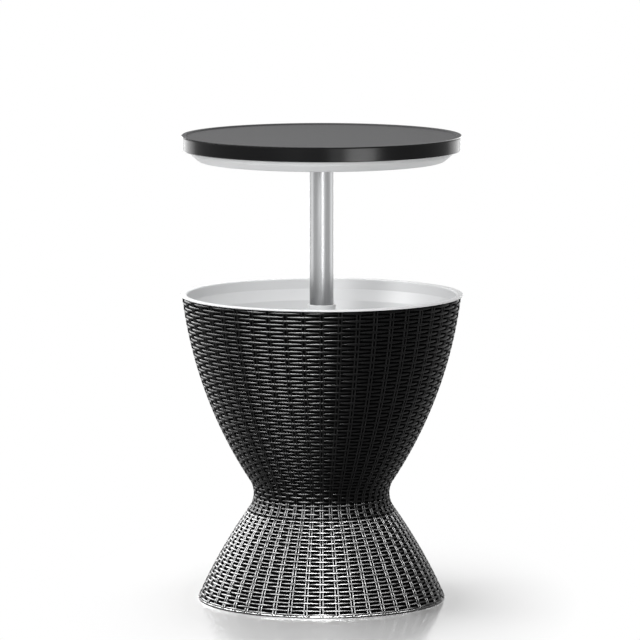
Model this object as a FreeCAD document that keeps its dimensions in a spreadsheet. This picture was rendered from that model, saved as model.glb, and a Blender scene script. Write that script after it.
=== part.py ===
import FreeCAD, Part
import math
import os
import re
import Sketcher

# Cooler table with lid: an hourglass cooler whose lid is a round tabletop on a telescopic pole.
# The origin is on the pole's axis at the floor, +Z is up, and all sizes are in millimetres.
# The tabletop is modelled raised and locked.

SIZES = {
    # outline of the body, three arcs that run into each other
    "rim_height": 548.0,
    "rim_overhang": 1.5,
    "rim_thickness": 3.4,
    "rim_overlap": 3.0,
    "bowl_arc": 771.0,
    "waist_arc": 45.0,
    "waist_radius": 121.5,
    "waist_height": 190.0,
    "base_arc": 925.0,
    "foot_outline_radius": 222.3,
    # moulded shells
    "weave_depth": 2.6,
    "shell_wall": 3.0,
    "stake_rib_count": 48,
    "stake_rib_angle": 1.8,
    "stake_rib_inset": 1.2,
    "foot_ring_inset": 2.1,
    "foot_ring_height": 4.5,
    "foot_ring_width": 12.0,
    "foot_round": 1.5,
    "deck_thickness": 4.0,
    "spigot_radius": 92.0,
    "spigot_height": 8.0,
    "spigot_fit": 0.4,
    "base_rib_count": 8,
    "base_rib_thickness": 2.5,
    "base_rib_inner_radius": 46.0,
    "base_rib_inner_depth": 12.0,
    "base_rib_outer_depth": 45.0,
    # liner and insulation
    "liner_fit": 0.3,
    "liner_wall": 3.0,
    "jacket_gap": 7.1,
    "liner_collar_depth": 15.5,
    "liner_shoulder_depth": 20.0,
    "rim_round": 1.6,
    "mouth_round": 3.0,
    "floor_lift": 26.0,
    "floor_round": 14.0,
    "boss_radius": 46.0,
    "foam_fit": 0.3,
    "foam_lift": 17.0,
    "foam_hole_fit": 1.0,
    # screws at the waist
    "waist_screw_count": 4,
    "waist_screw_ring_radius": 104.0,
    "waist_screw_angle": 22.5,
    "waist_screw_radius": 2.4,
    "waist_screw_head_radius": 5.0,
    "waist_screw_head": 3.0,
    "waist_boss_radius": 6.0,
    "waist_boss_height": 14.0,
    "screw_fit": 0.1,
    "screw_tip_gap": 1.0,
    # fixed outer tube and what holds it
    "outer_tube_radius": 25.0,
    "outer_tube_wall": 2.2,
    "tube_hole_fit": 0.3,
    "groove_width": 8.0,
    "groove_depth": 1.0,
    "flange_radius": 44.0,
    "flange_thickness": 5.0,
    "flange_round": 6.0,
    "gasket_thickness": 1.5,
    "washer_radius": 42.0,
    "washer_thickness": 2.0,
    "nut_radius": 38.0,
    "nut_height": 15.0,
    "nut_scallop_count": 8,
    "nut_scallop_radius": 6.0,
    "thread_fit": 0.05,
    "cap_wall": 2.5,
    "cap_height": 15.0,
    "cap_drip_count": 3,
    "cap_drip_radius": 4.0,
    "cap_drip_ring_radius": 12.0,
    # collar and guide bush
    "collar_drop": 19.0,
    "collar_thickness": 3.0,
    "collar_round": 1.2,
    "bush_length": 90.0,
    "bush_seat_fit": 0.1,
    "bush_chamfer": 0.8,
    # sliding inner tube
    "inner_tube_radius": 21.25,
    "inner_tube_wall": 1.5,
    "running_fit": 0.1,
    # twist lock
    "stop_gap": 0.3,
    "end_play": 0.3,
    "sleeve_length": 40.0,
    "sleeve_bore_radius": 17.15,
    "sleeve_groove_count": 5,
    "sleeve_groove_width": 2.0,
    "sleeve_groove_depth": 0.8,
    "sleeve_slit_width": 3.0,
    "key_width": 7.6,
    "key_height": 0.8,
    "key_angle": 45.0,
    "cam_fit": 0.1,
    "cam_flat_width": 28.0,
    "plug_flange": 3.0,
    "plug_length": 32.0,
    "plug_fit": 0.05,
    "turn_range": 90.0,
    "tooth_width": 8.0,
    "tooth_depth": 5.0,
    "turn_gap": 1.0,
    "cam_washer_radius": 21.0,
    "cam_washer_thickness": 2.0,
    "cam_screw_radius": 3.0,
    "cam_screw_length": 22.0,
    "cam_screw_head_radius": 7.0,
    "cam_screw_head": 4.0,
    "socket_radius": 2.0,
    "socket_depth": 2.4,
    "pin_radius": 2.5,
    "pin_fit": 0.05,
    "tube_spare": 20.0,
    # tabletop that is also the lid
    "table_height": 831.0,
    "table_radius": 250.0,
    "table_round": 2.8,
    "band_height": 26.0,
    "band_wall": 3.2,
    "lip_width": 11.5,
    "lip_height": 2.5,
    "lip_slope": 2.5,
    "panel_thickness": 3.5,
    "table_rib_count": 12,
    "table_rib_thickness": 2.5,
    "table_rib_height": 6.0,
    "closing_gap": 0.3,
    # lid underside
    "dish_inset": 17.0,
    "dish_slope": 15.0,
    "dish_depth": 20.0,
    "dish_side_height": 7.0,
    "dish_wall": 2.5,
    "dish_recess_radius": 32.0,
    "dish_recess_depth": 6.0,
    "dish_round": 10.0,
    "dish_fit": 0.3,
    "dish_screw_count": 8,
    "dish_screw_inset": 7.5,
    "dish_screw_radius": 1.8,
    "dish_screw_head_radius": 3.6,
    "dish_screw_head": 2.0,
    "dish_screw_length": 12.0,
    "dish_boss_radius": 4.5,
    "lid_foam_inset": 6.0,
    "lid_foam_slope": 12.0,
    "lid_foam_gap": 0.3,
    # hub between the pole and the tabletop
    "hub_wall": 5.5,
    "hub_roof": 5.0,
    "hub_gap": 0.5,
    "hub_plate_radius": 78.0,
    "hub_plate_thickness": 4.0,
    "hub_boss_height": 10.0,
    "hub_boss_radius": 5.5,
    "hub_screw_count": 6,
    "hub_screw_ring_radius": 66.0,
    "hub_screw_radius": 2.2,
    "hub_screw_head_radius": 4.5,
    "hub_screw_head": 3.0,
    "hub_screw_length": 11.0,
    "gusset_thickness": 3.5,
    "gusset_reach": 48.0,
    "hub_socket_fit": 0.05,
    # drain
    "drain_offset": 70.0,
    "drain_angle": -67.5,
    "drain_boss_radius": 17.0,
    "drain_tube_radius": 11.0,
    "drain_bore_radius": 8.0,
    "drain_flange_radius": 16.0,
    "drain_flange": 2.0,
    "drain_gasket_thickness": 1.0,
    "drain_hole_fit": 0.3,
    "drain_tail": 22.0,
    "drain_nut_width": 30.0,
    "drain_nut_height": 8.0,
    "stopper_length": 16.0,
    "stopper_head_radius": 13.0,
    "stopper_head": 4.0,
    "stopper_gap": 0.3,
    "tab_width": 16.0,
    "tab_height": 18.0,
    "tab_thickness": 4.0,
    "tab_hole_radius": 4.5,
}

# Places that follow from the sizes. Each one may use sizes and other places.
PLACES = {
    "flange_bottom": "rim_height - rim_thickness",
    "rim_radius": "table_radius + rim_overhang",
    "shell_top_radius": "rim_radius - rim_overlap",
    "foot_ring_radius": "foot_outline_radius - foot_ring_inset",
    "shell_inset": "weave_depth + shell_wall",
    "collar_outer_inset": "shell_inset + liner_fit",
    "collar_inner_inset": "collar_outer_inset + liner_wall",
    "liner_outer_inset": "collar_outer_inset + jacket_gap",
    "liner_inner_inset": "liner_outer_inset + liner_wall",
    "collar_bottom": "flange_bottom - liner_collar_depth",
    "shoulder_bottom": "collar_bottom - liner_shoulder_depth",
    "deck_bottom": "waist_height - deck_thickness",
    "spigot_top": "waist_height + spigot_height",
    "spigot_deck_bottom": "spigot_top - deck_thickness",
    "spigot_inner_radius": "spigot_radius - deck_thickness",
    "bowl_floor_top": "waist_height + deck_thickness",
    "bowl_step_top": "spigot_top + deck_thickness",
    "bowl_step_radius": "spigot_radius + spigot_fit",
    "liner_floor_bottom": "bowl_step_top + floor_lift - liner_wall",
    "liner_floor_top": "bowl_step_top + floor_lift",
    "foam_bottom": "bowl_step_top + foam_lift",
    "tube_hole_radius": "outer_tube_radius + tube_hole_fit",
    "drain_hole_radius": "drain_tube_radius + drain_hole_fit",
    "outer_tube_bore": "outer_tube_radius - outer_tube_wall",
    "inner_tube_bore": "inner_tube_radius - inner_tube_wall",
    "flange_underside": "liner_floor_top + gasket_thickness",
    "collar_top": "rim_height - collar_drop",
    "outer_tube_top": "collar_top - collar_thickness",
    "bush_bore": "inner_tube_radius + running_fit",
    "bush_radius": "outer_tube_bore - bush_seat_fit",
    "bush_bottom": "outer_tube_top - bush_length",
    "sleeve_top": "bush_bottom - stop_gap",
    "sleeve_bottom": "sleeve_top - sleeve_length",
    "sleeve_radius": "outer_tube_bore - running_fit",
    "cam_radius": "sleeve_bore_radius - cam_fit",
    "tooth_angle": "2 * atan(tooth_width / 2 / cam_radius) / 1deg",
    "plug_flange_bottom": "sleeve_top + end_play",
    "inner_tube_bottom": "plug_flange_bottom + plug_flange",
    "cam_bottom": "sleeve_bottom - end_play",
    "cam_washer_bottom": "cam_bottom - cam_washer_thickness",
    "cam_head_bottom": "cam_washer_bottom - cam_screw_head",
    "lid_underside": "table_height - band_height",
    "travel": "lid_underside - rim_height - closing_gap",
    "nut_top": "spigot_deck_bottom - washer_thickness",
    "nut_bottom": "nut_top - nut_height",
    "lowest_lock": "cam_head_bottom - travel",
    "outer_tube_bottom": "min(lowest_lock; nut_bottom - cap_height) - tube_spare",
    "panel_top": "table_height - lip_height",
    "panel_bottom": "panel_top - panel_thickness",
    "band_inner_radius": "table_radius - band_wall",
    "dish_flange_top": "lid_underside + dish_wall",
    "dish_radius": "table_radius - dish_inset",
    "dish_bottom_radius": "dish_radius - dish_slope",
    "lid_foam_radius": "dish_radius - lid_foam_inset",
    "dish_bottom": "lid_underside - dish_depth",
    "dish_screw_ring_radius": "band_inner_radius - dish_screw_inset",
    "hub_plate_top": "panel_bottom - hub_boss_height",
    "hub_plate_bottom": "hub_plate_top - hub_plate_thickness",
    "recess_top": "dish_bottom + dish_recess_depth",
    "hub_bottom": "recess_top + dish_wall + hub_gap",
    "inner_tube_top": "panel_bottom - hub_roof",
    "hub_radius": "inner_tube_radius + hub_wall",
    "hub_pin_height": "(hub_bottom + hub_plate_bottom) / 2",
    "plug_pin_height": "inner_tube_bottom + plug_length / 2",
    "drain_flange_bottom": "liner_floor_top + drain_gasket_thickness",
    "drain_flange_top": "drain_flange_bottom + drain_flange",
    "stopper_head_bottom": "drain_flange_top + stopper_gap",
    "stopper_head_top": "stopper_head_bottom + stopper_head",
    "drain_bottom": "spigot_deck_bottom - drain_tail",
}

PARTS_FOLDER = "parts"
SAME_PLACE = 1e-3

doc = FreeCAD.newDocument("CoolerTable")


def make_sheet():
    """The spreadsheet that holds every driving size, one row each."""
    table = doc.addObject("Spreadsheet::Sheet", "Sizes")
    for row, (name, number) in enumerate(SIZES.items(), start=1):
        table.set(f"A{row}", name)
        table.set(f"B{row}", str(number))
        table.setAlias(f"B{row}", name)
    doc.recompute()
    return table


def bound(text):
    """An expression in which each size and place is written out as the sheet's cells."""

    def spelled(match):
        word = match.group()
        if word in PLACES:
            return f"({bound(PLACES[word])})"
        return f"Sizes.{word}" if word in SIZES else word

    return re.sub(r"[a-z][a-z_0-9]*", spelled, str(text))


sheet = make_sheet()


def number(text):
    """What an expression comes to now."""
    return float(sheet.evalExpression(bound(text)))


def outline_centres():
    """Centre (radius, height) of each arc of the outline, as plain numbers."""
    waist = (number("waist_radius + waist_arc"), number("waist_height"))
    centres = {"waist": waist}
    ends = {
        "bowl": ("shell_top_radius", "flange_bottom"),
        "base": ("foot_outline_radius", "0"),
    }
    for arc, (radius, height) in ends.items():
        own = number(arc + "_arc")
        reach = own + number("waist_arc")
        across = number(radius) - waist[0]
        up = number(height) - waist[1]
        apart = math.hypot(across, up)
        along = (reach**2 - own**2 + apart**2) / (2 * apart)
        aside = math.sqrt(reach**2 - along**2)
        side = 1 if up > 0 else -1
        centres[arc] = (
            waist[0] + (along * across - side * aside * up) / apart,
            waist[1] + (along * up + side * aside * across) / apart,
        )
    return centres


CENTRES = outline_centres()


def arc_size(arc, inset):
    """Radius expression of an arc that lies a distance inside the outline."""
    return f"waist_arc + ({inset})" if arc == "waist" else f"{arc}_arc - ({inset})"


def radius_at(arc, inset, height):
    """Distance from the axis of an arc of the outline at a height, as a plain number."""
    side = -1 if arc == "waist" else 1
    size = number(arc_size(arc, inset))
    rise = height - CENTRES[arc][1]
    return CENTRES[arc][0] + side * math.sqrt(size**2 - rise**2)


def tangent_spot(arc, inset):
    """Where the waist's arc runs into the bowl's or the base's, a distance inside the outline."""
    waist = CENTRES["waist"]
    other = CENTRES[arc]
    apart = math.hypot(other[0] - waist[0], other[1] - waist[1])
    share = number(arc_size("waist", inset)) / apart
    return (
        waist[0] + share * (other[0] - waist[0]),
        waist[1] + share * (other[1] - waist[1]),
    )


def vector(radius, height):
    return FreeCAD.Vector(radius, height, 0)


def origin_feature(body, role):
    """One of the body's own planes or axes."""
    for feature in body.Origin.OriginFeatures:
        if feature.Role == role:
            return feature


def add_body(name):
    body = doc.addObject("PartDesign::Body", name)
    body.Label = name
    return body


def add_sketch(body, name, role, lift=None):
    """A sketch on one of the body's own planes, raised along the plane's normal."""
    sketch = body.newObject("Sketcher::SketchObject", name)
    sketch.AttachmentSupport = [(origin_feature(body, role), "")]
    sketch.MapMode = "FlatFace"
    if lift:
        sketch.setExpression("AttachmentOffset.Base.z", bound(lift))
    return sketch


def pin_down(sketch, kind, *place, to):
    """A constraint whose value follows an expression."""
    index = sketch.addConstraint(Sketcher.Constraint(kind, *place, number(to)))
    sketch.setExpression(f"Constraints[{index}]", bound(to))


def place_point(sketch, item, end, across, up):
    """Hold one end of a sketch line at (across, up), each an expression or None for free."""
    if across is not None:
        pin_down(sketch, "DistanceX", -1, 1, item, end, to=across)
    if up is not None:
        pin_down(sketch, "DistanceY", -1, 1, item, end, to=up)


def add_skeleton(sketch):
    """The outline as construction circles: the waist's, and two that touch it and end at set points."""
    normal = FreeCAD.Vector(0, 0, 1)
    ids = {}
    for arc in ("waist", "bowl", "base"):
        circle = Part.Circle(vector(*CENTRES[arc]), normal, number(arc + "_arc"))
        ids[arc] = sketch.addGeometry(circle, True)
        pin_down(sketch, "Radius", ids[arc], to=arc + "_arc")
    place_point(sketch, ids["waist"], 3, "waist_radius + waist_arc", "waist_height")
    ends = {
        "bowl": ("shell_top_radius", "flange_bottom"),
        "base": ("foot_outline_radius", "0"),
    }
    for arc, (radius, height) in ends.items():
        spot = Part.Point(vector(number(radius), number(height)))
        end = sketch.addGeometry(spot, True)
        place_point(sketch, end, 1, radius, height)
        sketch.addConstraint(Sketcher.Constraint("PointOnObject", end, 1, ids[arc]))
        sketch.addConstraint(Sketcher.Constraint("Tangent", ids["waist"], ids[arc]))
    return ids


def corner_spots(corners, curves):
    """Where each corner of a section lies now, as (radius, height) numbers."""
    spots = []
    for index, (radius, height) in enumerate(corners):
        before = curves.get((index - 1) % len(corners))
        after = curves.get(index)
        if height is None:
            arc = after[0] if before[0] == "waist" else before[0]
            spots.append(tangent_spot(arc, before[1]))
        elif radius is None:
            arc, inset = after or before
            spots.append((radius_at(arc, inset, number(height)), number(height)))
        else:
            spots.append((number(radius), number(height)))
    return spots


def add_curve(sketch, curve, start, end):
    """An arc of the outline from start to end. Returns the sketch's item and its two ends."""
    arc, inset = curve
    centre = CENTRES[arc]
    turns = [math.atan2(p[1] - centre[1], p[0] - centre[0]) % (2 * math.pi) for p in (start, end)]
    forward = (turns[1] - turns[0]) % (2 * math.pi) < math.pi
    first, last = turns if forward else reversed(turns)
    circle = Part.Circle(vector(*centre), FreeCAD.Vector(0, 0, 1), number(arc_size(arc, inset)))
    item = sketch.addGeometry(Part.ArcOfCircle(circle, first, last), False)
    return (item, 1, 2) if forward else (item, 2, 1)


def half_section(body, name, corners, curves=None):
    """A closed section beside the axis, to be turned.

    Each corner is (radius, height). A radius of None lies on the curve beside the corner, and a
    corner of (None, None) is where two curves run into each other. curves gives, for a corner's
    index, the arc of the outline and the inset with which the section goes on to the next corner.
    """
    curves = curves or {}
    count = len(corners)
    sketch = add_sketch(body, name, "XZ_Plane")
    skeleton = add_skeleton(sketch) if curves else {}
    spots = corner_spots(corners, curves)
    items = []
    for index, spot in enumerate(spots):
        goal = spots[(index + 1) % count]
        if index in curves:
            items.append(add_curve(sketch, curves[index], spot, goal))
            continue
        items.append((sketch.addGeometry(Part.LineSegment(vector(*spot), vector(*goal)), False), 1, 2))
    for index, (item, start, _) in enumerate(items):
        before, _, end = items[index - 1]
        smooth = corners[index][1] is None
        kind = "Tangent" if smooth else "Coincident"
        sketch.addConstraint(Sketcher.Constraint(kind, before, end, item, start))
    for index, (arc, inset) in curves.items():
        item = items[index][0]
        sketch.addConstraint(Sketcher.Constraint("Coincident", item, 3, skeleton[arc], 3))
        joined = None in (corners[index][1], corners[(index + 1) % count][1])
        if arc == "waist" or not joined:
            pin_down(sketch, "Radius", item, to=arc_size(arc, inset))
    for (item, start, _), (radius, height) in zip(items, corners):
        place_point(sketch, item, start, radius, height)
    return sketch


def turn(body, name, section, angle="360"):
    """The section turned about the upright axis, half of the angle to each side."""
    solid = body.newObject("PartDesign::Revolution", name)
    solid.Profile = section
    solid.ReferenceAxis = (section, ["V_Axis"])
    solid.Midplane = True
    solid.setExpression("Angle", bound(angle))
    body.Tip = solid
    doc.recompute()
    return solid


def turned(name, corners, curves=None):
    """A body with one turned section."""
    body = add_body(name)
    section = half_section(body, name + "_section", corners, curves)
    return body, turn(body, name + "_turned", section)


def outline_of(sketch, points, closed=True):
    """Straight sketch lines through points, each (across, up) as expressions."""
    spots = [vector(number(a), number(b)) for a, b in points]
    lines = []
    for index, spot in enumerate(spots):
        goal = spots[(index + 1) % len(spots)]
        lines.append(sketch.addGeometry(Part.LineSegment(spot, goal), False))
    for index, line in enumerate(lines):
        sketch.addConstraint(Sketcher.Constraint("Coincident", lines[index - 1], 2, line, 1))
    for line, (across, up) in zip(lines, points):
        place_point(sketch, line, 1, across, up)
    return lines


def disc(sketch, across, up, radius):
    """A circle whose centre and radius follow expressions."""
    circle = Part.Circle(vector(number(across), number(up)), FreeCAD.Vector(0, 0, 1), number(radius))
    item = sketch.addGeometry(circle, False)
    place_point(sketch, item, 3, across, up)
    pin_down(sketch, "Radius", item, to=radius)


def pad(body, name, sketch, length, midplane=False, down=False):
    """The sketch thickened along its normal, or against it."""
    solid = body.newObject("PartDesign::Pad", name)
    solid.Profile = sketch
    solid.Midplane = midplane
    solid.Reversed = down
    solid.setExpression("Length", bound(length))
    body.Tip = solid
    doc.recompute()
    return solid


def cut(body, name, sketch, length, midplane=False, up=False):
    """The sketch cut out of the body against its normal, or along it. It has to remove something."""
    before = body.Shape.Volume
    hollow = body.newObject("PartDesign::Pocket", name)
    hollow.Profile = sketch
    hollow.Midplane = midplane
    hollow.Reversed = up
    hollow.setExpression("Length", bound(length))
    body.Tip = hollow
    doc.recompute()
    if body.Shape.Volume >= before:
        raise ValueError(f"{name} removes nothing")
    return hollow


def round_pattern(body, name, features, count, angle="360"):
    """Copies of features, evenly spaced round the upright axis."""
    pattern = body.newObject("PartDesign::PolarPattern", name)
    pattern.Originals = features
    pattern.Axis = (origin_feature(body, "Z_Axis"), [""])
    pattern.setExpression("Angle", bound(angle))
    pattern.setExpression("Occurrences", bound(count))
    body.Tip = pattern
    doc.recompute()
    return pattern


def ring_edges(feature, spots):
    """Names of a feature's full round edges at the given (radius, height) places."""
    wanted = [(number(radius), number(height)) for radius, height in spots]
    names = []
    for index, edge in enumerate(feature.Shape.Edges, start=1):
        box = edge.BoundBox
        for radius, height in wanted:
            misses = (box.ZMin - height, box.ZMax - height, box.XMax - radius, box.XMin + radius)
            if max(abs(miss) for miss in misses) < SAME_PLACE:
                names.append(f"Edge{index}")
    return names


def soften(body, name, kind, spots, size):
    """A fillet or a chamfer on the round edges at the given places."""
    feature = body.Tip
    edges = ring_edges(feature, spots)
    if len(edges) != len(spots):
        raise ValueError(f"{name} found {len(edges)} edges of {len(spots)}")
    dress = body.newObject(f"PartDesign::{kind}", name)
    dress.Base = (feature, edges)
    dress.setExpression("Radius" if kind == "Fillet" else "Size", bound(size))
    body.Tip = dress
    doc.recompute()
    return dress


def polar(radius, angle):
    """Expressions for the two coordinates of a point at a radius and an angle in degrees."""
    return f"({radius}) * cos(({angle}) * 1deg)", f"({radius}) * sin(({angle}) * 1deg)"


def add_stake_ribs(body, name, below, above, low, high):
    """Shallow ribs up the wall, one for each pair of the weave's stakes, along two arcs of the outline."""
    wall = "weave_depth + shell_wall / 2"
    corners = [(None, low), (None, None), (None, high), (None, high), (None, None), (None, low)]
    curves = {
        0: (below, "stake_rib_inset"),
        1: (above, "stake_rib_inset"),
        3: (above, wall),
        4: (below, wall),
    }
    section = half_section(body, name + "_section", corners, curves)
    rib = turn(body, name, section, "stake_rib_angle")
    round_pattern(body, name + "s", [rib], "stake_rib_count")


def make_base_shell():
    """Flared lower cone with its foot ring, the stepped deck at the waist and the ribs below it."""
    corners = [
        ("foot_ring_radius", "0"),
        ("foot_ring_radius", "foot_ring_height"),
        (None, "foot_ring_height"),
        (None, None),
        (None, "waist_height"),
        ("spigot_radius", "waist_height"),
        ("spigot_radius", "spigot_top"),
        ("tube_hole_radius", "spigot_top"),
        ("tube_hole_radius", "spigot_deck_bottom"),
        ("spigot_inner_radius", "spigot_deck_bottom"),
        ("spigot_inner_radius", "deck_bottom"),
        (None, "deck_bottom"),
        (None, None),
        (None, "foot_ring_height"),
        ("foot_ring_radius - foot_ring_width", "foot_ring_height"),
        ("foot_ring_radius - foot_ring_width", "0"),
    ]
    curves = {
        2: ("base", "weave_depth"),
        3: ("waist", "weave_depth"),
        11: ("waist", "shell_inset"),
        12: ("base", "shell_inset"),
    }
    body, _ = turned("base_shell", corners, curves)
    soften(body, "foot_ring_edge", "Fillet", [("foot_ring_radius", "foot_ring_height")], "foot_round")
    add_base_ribs(body)
    add_drain_hole(body, "deck_drain_hole", "spigot_top", "2 * deck_thickness")
    spot = polar("waist_screw_ring_radius", "waist_screw_angle")
    sketch = add_sketch(body, "deck_screw_spot", "XY_Plane", "waist_height")
    disc(sketch, *spot, "waist_screw_radius + screw_fit")
    hole = cut(body, "deck_screw_hole", sketch, "2 * deck_thickness")
    round_pattern(body, "deck_screw_holes", [hole], "waist_screw_count")
    add_stake_ribs(body, "base_stake_rib", "base", "waist", "foot_ring_height", "waist_height")
    return body


def add_base_ribs(body):
    """Upright ribs from the nut's edge out to the wall, which pass beside the drain."""
    wall = "shell_inset - shell_wall / 2"
    low = "deck_bottom - base_rib_outer_depth"
    high = "deck_bottom + deck_thickness / 2"
    step = "spigot_deck_bottom + deck_thickness / 2"
    inner_low = "spigot_deck_bottom - base_rib_inner_depth"
    corners = [
        ("base_rib_inner_radius", inner_low),
        (None, low),
        (None, None),
        (None, high),
        ("spigot_radius - deck_thickness / 2", high),
        ("spigot_radius - deck_thickness / 2", step),
        ("base_rib_inner_radius", step),
    ]
    curves = {1: ("base", wall), 2: ("waist", wall)}
    sketch = half_section(body, "base_rib_section", corners, curves)
    rib = pad(body, "base_rib", sketch, "base_rib_thickness", midplane=True)
    round_pattern(body, "base_ribs", [rib], "base_rib_count")


def add_drain_hole(body, name, top, depth):
    """The drain's hole down through a floor."""
    sketch = add_sketch(body, name + "_spot", "XY_Plane", top)
    disc(sketch, *polar("drain_offset", "drain_angle"), "drain_hole_radius")
    return cut(body, name, sketch, depth)


def make_bowl_shell():
    """Upper shell: the bowl's wall and its floor, which steps up over the deck's spigot."""
    floor_corner = "bowl_step_radius + deck_thickness"
    corners = [
        (None, "waist_height"),
        (None, None),
        (None, "flange_bottom"),
        (None, "flange_bottom"),
        (None, None),
        (None, "bowl_floor_top"),
        (floor_corner, "bowl_floor_top"),
        (floor_corner, "bowl_step_top"),
        ("tube_hole_radius", "bowl_step_top"),
        ("tube_hole_radius", "spigot_top"),
        ("bowl_step_radius", "spigot_top"),
        ("bowl_step_radius", "waist_height"),
    ]
    curves = {
        0: ("waist", "weave_depth"),
        1: ("bowl", "weave_depth"),
        3: ("bowl", "shell_inset"),
        4: ("waist", "shell_inset"),
    }
    body, _ = turned("bowl_shell", corners, curves)
    spot = polar("waist_screw_ring_radius", "waist_screw_angle")
    sketch = add_sketch(body, "waist_boss_spot", "XY_Plane", "waist_height")
    disc(sketch, *spot, "waist_boss_radius")
    boss = pad(body, "waist_boss", sketch, "deck_thickness + waist_boss_height")
    round_pattern(body, "waist_bosses", [boss], "waist_screw_count")
    sketch = add_sketch(body, "waist_pilot_spot", "XY_Plane", "waist_height")
    disc(sketch, *spot, "waist_screw_radius")
    pilot = cut(body, "waist_pilot", sketch, "waist_boss_height", up=True)
    round_pattern(body, "waist_pilots", [pilot], "waist_screw_count")
    add_drain_hole(body, "bowl_drain_hole", "bowl_step_top", "deck_thickness")
    add_stake_ribs(body, "bowl_stake_rib", "waist", "bowl", "waist_height", "flange_bottom")
    return body


def make_liner():
    """White inner tub with the rim flange, the locating collar and the bosses for pole and drain."""
    corners = [
        (None, "rim_height"),
        ("rim_radius", "rim_height"),
        ("rim_radius", "flange_bottom"),
        (None, "flange_bottom"),
        (None, "collar_bottom"),
        (None, "shoulder_bottom"),
        (None, "liner_floor_bottom"),
        ("boss_radius", "liner_floor_bottom"),
        ("boss_radius", "bowl_step_top"),
        ("tube_hole_radius", "bowl_step_top"),
        ("tube_hole_radius", "liner_floor_top"),
        (None, "liner_floor_top"),
        (None, "shoulder_bottom"),
        (None, "collar_bottom"),
    ]
    curves = {
        3: ("bowl", "collar_outer_inset"),
        5: ("bowl", "liner_outer_inset"),
        11: ("bowl", "liner_inner_inset"),
        13: ("bowl", "collar_inner_inset"),
    }
    body, solid = turned("liner", corners, curves)
    nose = [("rim_radius", "rim_height"), ("rim_radius", "flange_bottom")]
    soften(body, "rim_nose", "Fillet", nose, "rim_round")
    mouth = radius_at("bowl", "collar_inner_inset", number("rim_height"))
    soften(body, "mouth_edge", "Fillet", [(mouth, "rim_height")], "mouth_round")
    inside = radius_at("bowl", "liner_inner_inset", number("liner_floor_top"))
    soften(body, "floor_edge", "Fillet", [(inside, "liner_floor_top")], "floor_round")
    outside = radius_at("bowl", "liner_outer_inset", number("liner_floor_bottom"))
    edge = [(outside, "liner_floor_bottom")]
    soften(body, "floor_underedge", "Fillet", edge, "floor_round + liner_wall")
    sketch = add_sketch(body, "drain_boss_spot", "XY_Plane", "bowl_step_top")
    disc(sketch, *polar("drain_offset", "drain_angle"), "drain_boss_radius")
    pad(body, "drain_boss", sketch, "floor_lift - liner_wall / 2")
    add_drain_hole(body, "liner_drain_hole", "liner_floor_top", "floor_lift")
    return body


def make_insulation():
    """Foam jacket between the liner and the bowl's shell, open round the two bosses."""
    hole = "boss_radius + foam_hole_fit"
    corners = [
        (hole, "foam_bottom"),
        (None, "foam_bottom"),
        (None, "shoulder_bottom"),
        (None, "shoulder_bottom"),
        (None, "liner_floor_bottom - foam_fit"),
        (hole, "liner_floor_bottom - foam_fit"),
    ]
    curves = {
        1: ("bowl", "shell_inset + foam_fit"),
        3: ("bowl", "liner_outer_inset - foam_fit"),
    }
    body, _ = turned("insulation", corners, curves)
    sketch = add_sketch(body, "foam_drain_spot", "XY_Plane", "liner_floor_bottom")
    disc(sketch, *polar("drain_offset", "drain_angle"), "drain_boss_radius + foam_hole_fit")
    cut(body, "foam_drain_hole", sketch, "floor_lift")
    return body


def screw_group(name, spot, count, level, head, shank):
    """Like screws round the axis, heads down. head and shank are (radius, length)."""
    body = add_body(name)
    sketch = add_sketch(body, name + "_head_spot", "XY_Plane", level)
    disc(sketch, *spot, head[0])
    parts = [pad(body, name + "_head", sketch, head[1])]
    sketch = add_sketch(body, name + "_shank_spot", "XY_Plane", f"{level} + {head[1]}")
    disc(sketch, *spot, shank[0])
    parts.append(pad(body, name + "_shank", sketch, shank[1]))
    sketch = add_sketch(body, name + "_socket_spot", "XY_Plane", level)
    disc(sketch, *spot, f"{head[0]} / 2")
    parts.append(cut(body, name + "_socket", sketch, f"{head[1]} / 2", up=True))
    round_pattern(body, name + "_all", parts, count)
    return body


def make_waist_screws():
    """Screws from below the deck up into the bowl's bosses."""
    return screw_group(
        "waist_screws",
        polar("waist_screw_ring_radius", "waist_screw_angle"),
        "waist_screw_count",
        "deck_bottom - waist_screw_head",
        ("waist_screw_head_radius", "waist_screw_head"),
        ("waist_screw_radius", "deck_thickness + waist_boss_height - screw_tip_gap"),
    )


def make_outer_tube():
    """Fixed tube of the pole: a shoulder flange low down and two grooves all along its inside."""
    corners = [
        ("outer_tube_bore", "outer_tube_bottom"),
        ("outer_tube_radius", "outer_tube_bottom"),
        ("outer_tube_radius", "flange_underside"),
        ("flange_radius", "flange_underside"),
        ("flange_radius", "flange_underside + flange_thickness"),
        ("outer_tube_radius", "flange_underside + flange_thickness"),
        ("outer_tube_radius", "outer_tube_top"),
        ("outer_tube_bore", "outer_tube_top"),
    ]
    body, _ = turned("outer_tube", corners)
    root = [("outer_tube_radius", "flange_underside + flange_thickness")]
    soften(body, "flange_root", "Fillet", root, "flange_round")
    sketch = add_sketch(body, "groove_section", "XY_Plane", "outer_tube_bottom")
    spot = [
        ("0", "-groove_width / 2"),
        ("outer_tube_bore + groove_depth", "-groove_width / 2"),
        ("outer_tube_bore + groove_depth", "groove_width / 2"),
        ("0", "groove_width / 2"),
    ]
    turned_points(sketch, spot, "key_angle")
    groove = cut(body, "groove", sketch, "outer_tube_top - outer_tube_bottom", up=True)
    round_pattern(body, "grooves", [groove], "2")
    return body


def turned_points(sketch, points, angle):
    """Straight lines through points that are first turned by an angle round the origin."""
    turned_ones = []
    for across, up in points:
        wide = f"({across}) * cos(({angle}) * 1deg) - ({up}) * sin(({angle}) * 1deg)"
        high = f"({across}) * sin(({angle}) * 1deg) + ({up}) * cos(({angle}) * 1deg)"
        turned_ones.append((wide, high))
    return outline_of(sketch, turned_ones)


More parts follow.
